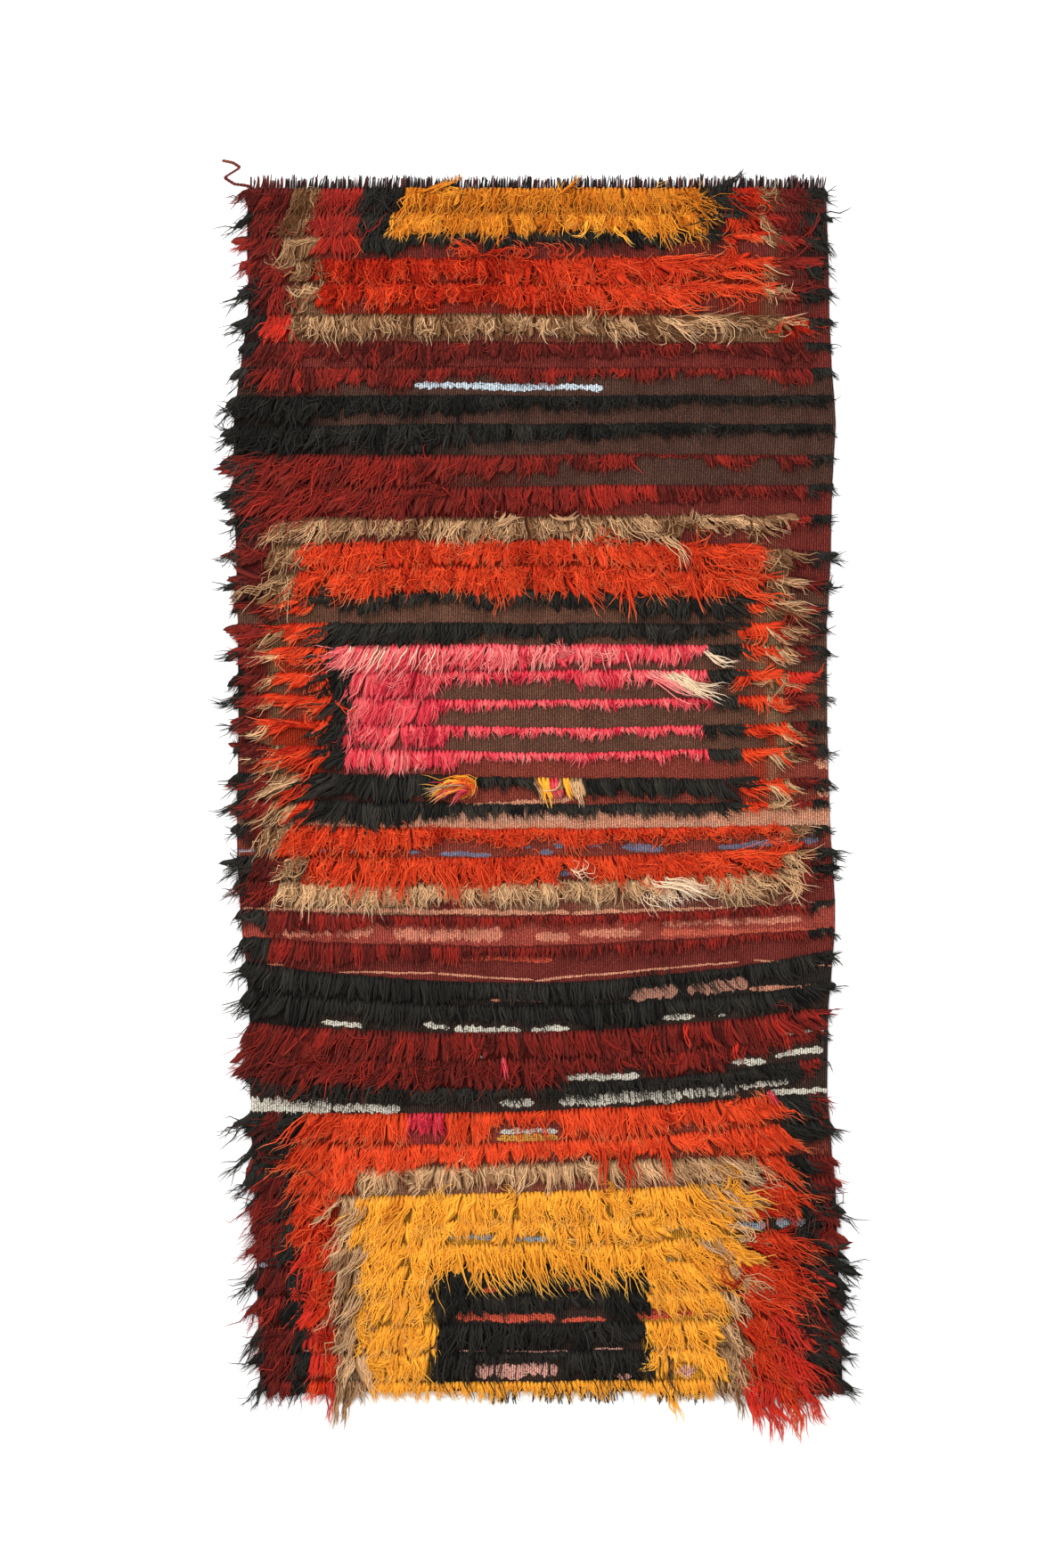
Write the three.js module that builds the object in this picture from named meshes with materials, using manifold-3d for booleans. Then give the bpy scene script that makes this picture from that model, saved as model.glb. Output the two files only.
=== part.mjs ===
// A long-pile village rug on a flat-woven ground, laid flat.
// Millimetres. +X runs across the rug, +Y runs along it towards the upper edge, +Z is up.
// The origin is the middle of the underside.

import * as THREE from 'three';
import { mergeVertices } from 'three/addons/utils/BufferGeometryUtils.js';
import Module from 'manifold-3d';

const wasm = await Module();
wasm.setup();

// Driving dimensions

const TOP = 1017; // the upper edge of the cloth, where the first row of knots stands
const BOTTOM = -1008; // the lower edge of the cloth
const CLOTH_WIDTH = 980;
const ROWS = 46; // rows of knotted pile
const PITCH = (TOP - BOTTOM) / ROWS;
const COLUMNS = 21; // lumps across one row
const SIDE_COLUMN = 16; // how far the pile takes to fall to the rim
const RIM_HEIGHT = 4; // cloth and flattened wool at the rim
const GROUND = 3; // the flat-woven cloth by itself
const GAP = 0.3; // between pieces that touch
const LUMP = { least: 0.72, spread: 0.4 }; // the tufts of a row are uneven, as shares of its height

// The two long edges, which wander as a hand-woven cloth does
const SELVEDGES = [
  { y: 1017, left: -487, right: 485 },
  { y: 915, left: -489, right: 490 },
  { y: 825, left: -485, right: 491 },
  { y: 712, left: -500, right: 496 },
  { y: 630, left: -511, right: 503 },
  { y: 525, left: -511, right: 497 },
  { y: 420, left: -507, right: 494 },
  { y: 285, left: -504, right: 487 },
  { y: 90, left: -503, right: 488 },
  { y: -90, left: -506, right: 494 },
  { y: -225, left: -499, right: 502 },
  { y: -300, left: -492, right: 500 },
  { y: -400, left: -484, right: 490 },
  { y: -540, left: -483, right: 488 },
  { y: -675, left: -475, right: 501 },
  { y: -840, left: -471, right: 508 },
  { y: -1008, left: -466, right: 514 },
];

// Height of the pile above the cloth, in bands from the upper edge down.
// It is worn short in the middle and at the right of the pink field.
const PILE_BANDS = [
  { name: 'head stripes', from: 1017, left: 15, middle: 14, right: 14 },
  { name: 'camel braid', from: 805, left: 13, middle: 15, right: 13 },
  { name: 'dark red rows', from: 755, left: 10, middle: 9, right: 7 },
  { name: 'black rows', from: 660, left: 14, middle: 11, right: 7 },
  { name: 'short red rows', from: 540, left: 12, middle: 9, right: 6 },
  { name: 'camel and orange', from: 465, left: 15, middle: 16, right: 14 },
  { name: 'black line', from: 325, left: 14, middle: 8, right: 9 },
  { name: 'pink field', from: 255, left: 15, middle: 7, right: 6 },
  { name: 'black pair', from: 30, left: 14, middle: 10, right: 11 },
  { name: 'orange and camel', from: -60, left: 14, middle: 14, right: 12 },
  { name: 'bare red weave', from: -200, left: 6, middle: 4, right: 5 },
  { name: 'black and maroon', from: -300, left: 15, middle: 13, right: 12 },
  { name: 'orange band', from: -540, left: 16, middle: 15, right: 16 },
  { name: 'gold square', from: -660, left: 17, middle: 15, right: 17 },
];

// One row of pile in section: the knots stand up from the cloth and the tufts lie down over the next row
const ROW_SECTION = [
  { phase: 0, lift: 0.3, bulge: 0 },
  { phase: 0.3, lift: 1, bulge: 4 },
  { phase: 0.86, lift: 0.72, bulge: 2 },
];

// How far the rows sag, more at the left than at the right
const BOW_SKEW = { left: 1.15, fall: 0.8 };
const ROW_BOW = [
  { y: 1017, sag: 0 },
  { y: 300, sag: 6 },
  { y: -100, sag: 16 },
  { y: -300, sag: 24 },
  { y: -480, sag: 20 },
  { y: -700, sag: 8 },
  { y: -1008, sag: 0 },
];

// Locks that stand past the long edges. A heading of 180 points to the left and 0 to the right.
const SIDE_LOCKS_PER_SIDE = 52;
const SIDE_LOCKS = [
  { from: 1017, left: 13, leftHeading: 184, right: 11, rightHeading: -6 },
  { from: 700, left: 21, leftHeading: 186, right: 13, rightHeading: -6 },
  { from: 400, left: 31, leftHeading: 187, right: 15, rightHeading: -8 },
  { from: 100, left: 33, leftHeading: 190, right: 12, rightHeading: -10 },
  { from: -170, left: 16, leftHeading: 192, right: 18, rightHeading: -12 },
  { from: -360, left: 36, leftHeading: 202, right: 24, rightHeading: -18 },
  { from: -620, left: 17, leftHeading: 222, right: 17, rightHeading: -30 },
  { from: -780, left: 20, leftHeading: 226, right: 38, rightHeading: -34 },
];

// Locks that hang past the lower edge on both sides of the bare warp ends
const LOWER_LOCKS = [
  { name: 'dark edge, left', from: -462, to: -350, count: 8, reach: 27, heading: -112, width: 15 },
  { name: 'camel tuft, left', from: -342, to: -306, count: 3, reach: 56, heading: -88, width: 17 },
  { name: 'gold, left', from: -294, to: -104, count: 11, reach: 22, heading: -90, width: 17 },
  { name: 'gold, right', from: 290, to: 322, count: 3, reach: 36, heading: -74, width: 10 },
  { name: 'camel tuft, right', from: 332, to: 344, count: 2, reach: 46, heading: -76, width: 9 },
  { name: 'orange tips', from: 356, to: 432, count: 6, reach: 78, heading: -68, width: 10 },
  { name: 'dark edge, right', from: 446, to: 506, count: 4, reach: 44, heading: -46, width: 14 },
];

const LOCK = { root: 14, width: 15, height: 6, rootLift: 0.6 };
const LOCK_TAPER = { width: 0.7, height: 0.65 }; // the share of each that is lost at the tip

// How unevenly the locks lie: headings and bends in degrees, the rest as shares
const UNEVEN = { heading: 16, bend: 24, leastReach: 0.6, reachSpread: 0.6, leastSize: 0.8, sizeSpread: 0.4 };

// Warp ends: short stubs of the cloth's own warp, fused at the root into a narrow strip
const WARP_END = { width: 3.2, height: 2.4, reach: 12, root: 2, slant: 14, rootLift: 0.1, margin: 3 };
const UPPER_FRINGE = { from: -484, to: 482, count: 114, width: 6, height: 2.6 };
const LOWER_FRINGE = { from: -80, to: 280, count: 34, width: 6, height: 2.6 };

// The one long loose end of finishing yarn at the upper left corner
const LOOSE_YARN = {
  width: 5,
  topShare: 0.7,
  height: 4,
  route: [
    { x: -480, y: 1020 },
    { x: -492, y: 1023 },
    { x: -510, y: 1025 },
    { x: -527, y: 1036 },
    { x: -500, y: 1053 },
    { x: -512, y: 1061 },
    { x: -531, y: 1065 },
  ],
};

const COLOURS = {
  pile: { color: 0x93361f, roughness: 0.95, metalness: 0 },
  warp: { color: 0x2e241f, roughness: 0.95, metalness: 0 },
};

// Small helpers

const radians = (degrees) => (degrees * Math.PI) / 180;

// The same numbers on every run, from 0 to 1
function makeRandom(seed) {
  let state = seed;
  return () => {
    state = (state * 1664525 + 1013904223) % 4294967296;
    return state / 4294967296;
  };
}

// A value between the rows of a table that runs down the rug
function alongRug(table, column, y) {
  for (let i = 1; i < table.length; i += 1) {
    const upper = table[i - 1];
    const lower = table[i];
    if (y >= lower.y) {
      const share = Math.min(1, (upper.y - y) / (upper.y - lower.y));
      return THREE.MathUtils.lerp(upper[column], lower[column], Math.max(0, share));
    }
  }
  return table[table.length - 1][column];
}

// The row of a table whose band holds y
function bandAt(table, y) {
  let found = table[0];
  for (const band of table) {
    if (y <= band.from) found = band;
  }
  return found;
}

function solidOf(vertices, triangles) {
  return new wasm.Manifold(
    new wasm.Mesh({
      numProp: 3,
      vertProperties: new Float32Array(vertices),
      triVerts: new Uint32Array(triangles),
    }),
  );
}

function solidOfGeometry(geometry) {
  geometry.deleteAttribute('normal');
  geometry.deleteAttribute('uv');
  const merged = mergeVertices(geometry);
  return solidOf(merged.attributes.position.array, merged.index.array);
}

function joined(solids) {
  return solids.reduce((whole, solid) => whole.add(solid));
}

function meshOf(name, solid, look) {
  const shape = solid.getMesh();
  const geometry = new THREE.BufferGeometry();
  const points = new THREE.BufferAttribute(new Float32Array(shape.vertProperties), shape.numProp);
  geometry.setAttribute('position', points);
  geometry.setIndex(new THREE.BufferAttribute(new Uint32Array(shape.triVerts), 1));
  geometry.computeVertexNormals();
  const mesh = new THREE.Mesh(geometry, new THREE.MeshStandardMaterial(look));
  mesh.name = name;
  return mesh;
}

// A strand or lock of three sides that tapers to a point and rests level on the floor.
// Its root is lifted a little and lies inside the piece that it grows from, root millimetres deep.
function strand({ x, y, heading, bend, root, reach, width, height, rootLift }) {
  const length = root + reach;
  const clearOfRim = root + Math.min(1, reach / 4);
  const stops = [0, clearOfRim, root + reach * 0.6, length];
  const vertices = [];
  const triangles = [];
  let px = x;
  let py = y;
  stops.forEach((stop, ring) => {
    const share = stop / length;
    const angle = radians(heading + bend * share);
    const step = ring === 0 ? 0 : stop - stops[ring - 1];
    px += Math.cos(angle) * step;
    py += Math.sin(angle) * step;
    if (ring === stops.length - 1) {
      vertices.push(px, py, 0);
      return;
    }
    const half = (width / 2) * (1 - LOCK_TAPER.width * share);
    const base = ring === 0 ? rootLift : 0;
    const sideX = Math.sin(angle) * half;
    const sideY = -Math.cos(angle) * half;
    vertices.push(px + sideX, py + sideY, base);
    vertices.push(px - sideX, py - sideY, base);
    vertices.push(px, py, base + height * (1 - LOCK_TAPER.height * share));
    if (ring > 0) {
      for (let side = 0; side < 3; side += 1) {
        const a = (ring - 1) * 3 + side;
        const b = (ring - 1) * 3 + ((side + 1) % 3);
        triangles.push(a, b, b + 3, a, b + 3, a + 3);
      }
    }
  });
  const last = (stops.length - 2) * 3;
  const tip = last + 3;
  triangles.push(0, 2, 1);
  triangles.push(last, last + 1, tip, last + 1, last + 2, tip, last + 2, last, tip);
  return solidOf(vertices, triangles);
}

// A yarn of four sides along a route on the floor, blunt at both ends
function yarn({ route, width, topShare, height }) {
  const vertices = [];
  const triangles = [];
  route.forEach((point, i) => {
    const before = route[Math.max(0, i - 1)];
    const after = route[Math.min(route.length - 1, i + 1)];
    const along = new THREE.Vector2(after.x - before.x, after.y - before.y).normalize();
    const sideX = (along.y * width) / 2;
    const sideY = (-along.x * width) / 2;
    vertices.push(point.x + sideX, point.y + sideY, 0);
    vertices.push(point.x - sideX, point.y - sideY, 0);
    vertices.push(point.x - sideX * topShare, point.y - sideY * topShare, height);
    vertices.push(point.x + sideX * topShare, point.y + sideY * topShare, height);
    if (i > 0) {
      for (let side = 0; side < 4; side += 1) {
        const a = (i - 1) * 4 + side;
        const b = (i - 1) * 4 + ((side + 1) % 4);
        triangles.push(a, b, b + 4, a, b + 4, a + 4);
      }
    }
  });
  const last = (route.length - 1) * 4;
  triangles.push(0, 3, 2, 0, 2, 1);
  triangles.push(last, last + 1, last + 2, last, last + 2, last + 3);
  return solidOf(vertices, triangles);
}

// The slab of cloth and pile

function pileHeight(share, y) {
  const band = bandAt(PILE_BANDS, y);
  if (share < 0.5) return THREE.MathUtils.lerp(band.left, band.middle, share * 2);
  return THREE.MathUtils.lerp(band.middle, band.right, share * 2 - 1);
}

// Across the rug, 0 at the left edge and 1 at the right edge
function columnShares() {
  const side = SIDE_COLUMN / CLOTH_WIDTH;
  const shares = [0];
  for (let i = 0; i <= COLUMNS - 2; i += 1) {
    shares.push(side + ((1 - 2 * side) * i) / (COLUMNS - 2));
  }
  shares.push(1);
  return shares;
}

function pileLines() {
  const lines = [];
  for (let row = 0; row < ROWS; row += 1) {
    for (const part of ROW_SECTION) {
      lines.push({ y: TOP - (row + part.phase) * PITCH, lift: part.lift, bulge: part.bulge });
    }
  }
  lines.push({ y: BOTTOM, lift: 0.3, bulge: 0 });
  return lines;
}

function pileSlab() {
  const random = makeRandom(4680);
  const shares = columnShares();
  const lines = pileLines();
  const across = shares.length;
  const vertices = [];
  for (const line of lines) {
    const left = alongRug(SELVEDGES, 'left', line.y) - line.bulge * (LUMP.spread + random());
    const right = alongRug(SELVEDGES, 'right', line.y) + line.bulge * (LUMP.spread + random());
    const bow = alongRug(ROW_BOW, 'sag', line.y);
    shares.forEach((share, i) => {
      const atRim = i === 0 || i === across - 1;
      const lump = LUMP.least + LUMP.spread * random();
      const pile = pileHeight(share, line.y) * line.lift * lump;
      const sag = bow * Math.sin(Math.PI * share) * (BOW_SKEW.left - BOW_SKEW.fall * share);
      vertices.push(THREE.MathUtils.lerp(left, right, share));
      vertices.push(line.y - (atRim ? 0 : sag));
      vertices.push(atRim ? RIM_HEIGHT : GROUND + pile);
    });
  }

  const triangles = [];
  const at = (line, i) => line * across + i;
  for (let line = 0; line < lines.length - 1; line += 1) {
    for (let i = 0; i < across - 1; i += 1) {
      const a = at(line, i);
      const b = at(line + 1, i);
      const c = at(line + 1, i + 1);
      const d = at(line, i + 1);
      triangles.push(a, b, c, a, c, d);
    }
  }

  // The rim, anticlockwise seen from above, and its copy on the floor
  const rim = [];
  const lastLine = lines.length - 1;
  for (let line = 0; line < lastLine; line += 1) rim.push(at(line, 0));
  for (let i = 0; i < across - 1; i += 1) rim.push(at(lastLine, i));
  for (let line = lastLine; line > 0; line -= 1) rim.push(at(line, across - 1));
  for (let i = across - 1; i > 0; i -= 1) rim.push(at(0, i));
  const floorStart = vertices.length / 3;
  const outline = rim.map((index) => new THREE.Vector2(vertices[index * 3], vertices[index * 3 + 1]));
  outline.forEach((point) => vertices.push(point.x, point.y, 0));
  rim.forEach((index, i) => {
    const nextIndex = rim[(i + 1) % rim.length];
    const below = floorStart + i;
    const nextBelow = floorStart + ((i + 1) % rim.length);
    triangles.push(index, below, nextBelow, index, nextBelow, nextIndex);
  });
  for (const [a, b, c] of THREE.ShapeUtils.triangulateShape(outline, [])) {
    triangles.push(floorStart + a, floorStart + c, floorStart + b);
  }
  return solidOf(vertices, triangles);
}

function sideLocks(side) {
  const random = makeRandom(side === 'left' ? 11 : 29);
  const outward = side === 'left' ? -1 : 1;
  const locks = [];
  const spacing = (TOP - BOTTOM) / SIDE_LOCKS_PER_SIDE;
  for (let i = 0; i < SIDE_LOCKS_PER_SIDE; i += 1) {
    const y = TOP - (i + LUMP.spread * (0.5 + random())) * spacing;
    const zone = bandAt(SIDE_LOCKS, y);
    locks.push(
      strand({
        x: alongRug(SELVEDGES, side, y) - outward * LOCK.root,
        y,
        heading: zone[`${side}Heading`] + UNEVEN.heading * (random() - 0.5),
        bend: UNEVEN.bend * (random() - 0.5),
        root: LOCK.root,
        reach: zone[side] * (UNEVEN.leastReach + UNEVEN.reachSpread * random()),
        width: LOCK.width * (UNEVEN.leastSize + UNEVEN.sizeSpread * random()),
        height: LOCK.height * (UNEVEN.leastSize + UNEVEN.sizeSpread * random()),
        rootLift: LOCK.rootLift,
      }),
    );
  }
  return locks;
}

function lowerLocks() {
  const random = makeRandom(53);
  const locks = [];
  for (const group of LOWER_LOCKS) {
    for (let i = 0; i < group.count; i += 1) {
      const share = group.count > 1 ? i / (group.count - 1) : 0.5;
      locks.push(
        strand({
          x: THREE.MathUtils.lerp(group.from, group.to, share),
          y: BOTTOM + LOCK.root,
          heading: group.heading + (UNEVEN.heading / 2) * (random() - 0.5),
          bend: (UNEVEN.bend / 2) * (random() - 0.5),
          root: LOCK.root,
          reach: group.reach * (UNEVEN.leastReach + UNEVEN.reachSpread * random()),
          width: group.width,
          height: LOCK.height,
          rootLift: LOCK.rootLift,
        }),
      );
    }
  }
  return locks;
}

// A strip along an end of the cloth, with its warp ends. outward is 1 at the upper edge and -1 at the lower.
function warpFringe({ from, to, count, width, height }, edge, outward, seed) {
  const random = makeRandom(seed);
  const near = edge + outward * GAP;
  const strip = new THREE.BoxGeometry(to - from, width, height);
  strip.translate((from + to) / 2, near + (outward * width) / 2, height / 2);
  const pieces = [solidOfGeometry(strip)];
  for (let i = 0; i < count; i += 1) {
    const pairSlant = (i % 2 === 0 ? 1 : -1) * WARP_END.slant;
    pieces.push(
      strand({
        x: THREE.MathUtils.lerp(from + WARP_END.margin, to - WARP_END.margin, i / (count - 1)),
        y: near + outward * (width - WARP_END.root),
        heading: outward * 90 + pairSlant + (UNEVEN.heading / 2) * (random() - 0.5),
        bend: 0,
        root: WARP_END.root,
        reach: WARP_END.reach * (UNEVEN.leastReach + UNEVEN.reachSpread * random()),
        width: WARP_END.width,
        height: WARP_END.height,
        rootLift: WARP_END.rootLift,
      }),
    );
  }
  return pieces;
}

const rug = new THREE.Group();

const body = joined([pileSlab(), ...sideLocks('left'), ...sideLocks('right'), ...lowerLocks()]);
rug.add(meshOf('rug_body', body, COLOURS.pile));

const upper = joined([...warpFringe(UPPER_FRINGE, TOP, 1, 71), yarn(LOOSE_YARN)]);
rug.add(meshOf('warp_fringe_top', upper, COLOURS.warp));

const lower = joined(warpFringe(LOWER_FRINGE, BOTTOM, -1, 97));
rug.add(meshOf('warp_fringe_bottom', lower, COLOURS.warp));

export default rug;
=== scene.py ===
"""A long-pile village rug on a flat-woven ground, laid flat and seen from straight above.

Sizes are in millimetres in the rug's own frame (+X across, +Y along, +Z up, origin in the middle of
the underside) until a mesh is made, where they become metres.
"""

import math
from collections import defaultdict, namedtuple

import bpy
import numpy as np
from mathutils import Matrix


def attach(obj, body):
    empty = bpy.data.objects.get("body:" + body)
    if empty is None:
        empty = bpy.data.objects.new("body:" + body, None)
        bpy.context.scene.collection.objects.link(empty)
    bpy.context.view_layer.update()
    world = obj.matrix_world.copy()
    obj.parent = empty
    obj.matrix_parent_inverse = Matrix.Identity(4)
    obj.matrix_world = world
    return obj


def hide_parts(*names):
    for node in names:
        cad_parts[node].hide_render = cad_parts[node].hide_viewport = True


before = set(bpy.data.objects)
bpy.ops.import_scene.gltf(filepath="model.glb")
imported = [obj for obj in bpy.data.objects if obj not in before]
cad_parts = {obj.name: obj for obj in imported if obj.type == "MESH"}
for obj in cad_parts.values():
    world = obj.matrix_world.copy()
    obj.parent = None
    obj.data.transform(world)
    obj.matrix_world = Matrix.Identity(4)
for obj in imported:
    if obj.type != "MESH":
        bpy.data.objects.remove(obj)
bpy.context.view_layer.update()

MM = 0.001
SEED = 4680

# The photograph's frame, and where the rug's origin lies in it
PHOTO = {"width": 1173, "height": 1760, "mm_per_pixel": 1.5, "origin_x": 603, "origin_y": 890}
LENS = 100
SENSOR = 36

# The light, with its size and place in metres, and the floor
SKY_STRENGTH = 1.15
KEY_STRENGTH = 130
KEY_SIZE = 2.4
KEY_PLACE = (-1.6, 2.2, 3.2)
FLOOR_HALF = 12000.0
FLOOR_DEPTH = -0.6
FLOOR_GREY = 0.94

# The cloth, with CORDS ribs of thicker cord along each edge
GROUND = 3.0
RIB_PITCH = 3.8
WEFT_PITCH = 1.6
SPECK_PITCH = 2.4
CORDS = 4
CORD_RISE = 1.3
KNOT_PITCH = 7.0
TOP = 1016.0
BOTTOM = -1007.0

# The cloth is laid out for baking at this scale: the millimetres across the whole layout
LAYOUT = 2300.0

# Pile rises by KNOT_RISE over about RISE_LENGTH of its length, leans on the next rows the further it reaches,
# and bulges with its length
KNOT_RISE = 2.8
RISE_LENGTH = 7.0
LEAN = 0.045
BULGE = 0.085

# Past the cloth's edge it comes down over DROP_WIDTH. Its lowest layer lies FLOOR_LEAST over the floor, and its
# highest FLOOR_MORE above that
DROP_WIDTH = 20.0
FLOOR_LEAST = 0.4
FLOOR_MORE = 2.2

# Knots within RIM_ZONE of the edge are more and more loose and ragged, over RIM_FADE
RIM_ZONE = 45.0
RIM_FADE = 35.0

# Pile longer than MAT_LENGTH mats down over the cloth below it, fully so when it is longer by MAT_FADE. The
# cloth there takes MAT_SHARE of its colour from the wool, darkened by MAT_SHADE, or GOLD_MAT_SHADE under
# gold, as painted shade beneath the pile
MAT_LENGTH = 40.0
MAT_FADE = 14.0
MAT_SHARE = 0.9
MAT_SHADE = 0.52
GOLD_MAT_SHADE = 0.68

# Pile that heaps up past FIRM is pressed down by the locks over it, by no more than SQUASH above it
FIRM = 21.0
SQUASH = 7.0

# y, left edge, right edge of the cloth
SELVEDGES = np.array(
    [
        (1017, -487, 485), (915, -489, 490), (825, -485, 491), (712, -500, 496), (630, -511, 503),
        (525, -511, 497), (420, -507, 494), (285, -504, 487), (90, -503, 488), (-90, -506, 494),
        (-225, -499, 502), (-300, -492, 500), (-400, -484, 490), (-540, -483, 488),
        (-675, -475, 501), (-840, -471, 508), (-1008, -466, 514),
    ],
    float,
)

# What each letter of the pile chart means: the wool it is made of, its shade in that wool from 0 to 1, and
# the share of its strands that are much paler
WOOLS = {
    "K": ("black", 0.3, 0.02),
    "J": ("black", 0.12, 0.02),
    "M": ("red", 0.05, 0.03),
    "N": ("red", 0.14, 0.03),
    "R": ("red", 0.21, 0.04),
    "Q": ("red", 0.44, 0.03),
    "S": ("red", 0.94, 0.05),
    "U": ("orange", 0.11, 0.15),
    "V": ("orange", 0.33, 0.21),
    "O": ("orange", 0.42, 0.18),
    "T": ("orange", 0.65, 0.18),
    "H": ("gold", 0.26, 0.16),
    "G": ("gold", 0.9, 0.06),
    "B": ("camel", 0.0, 0.1),
    "C": ("camel", 0.24, 0.24),
    "D": ("camel", 0.56, 0.3),
    "W": ("white", 0.85, 0.0),
    "F": ("pink", 0.02, 0.03),
    "P": ("pink", 0.21, 0.08),
    "L": ("pink", 0.28, 0.4),
    "I": ("pink", 0.85, 0.0),
}
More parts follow.
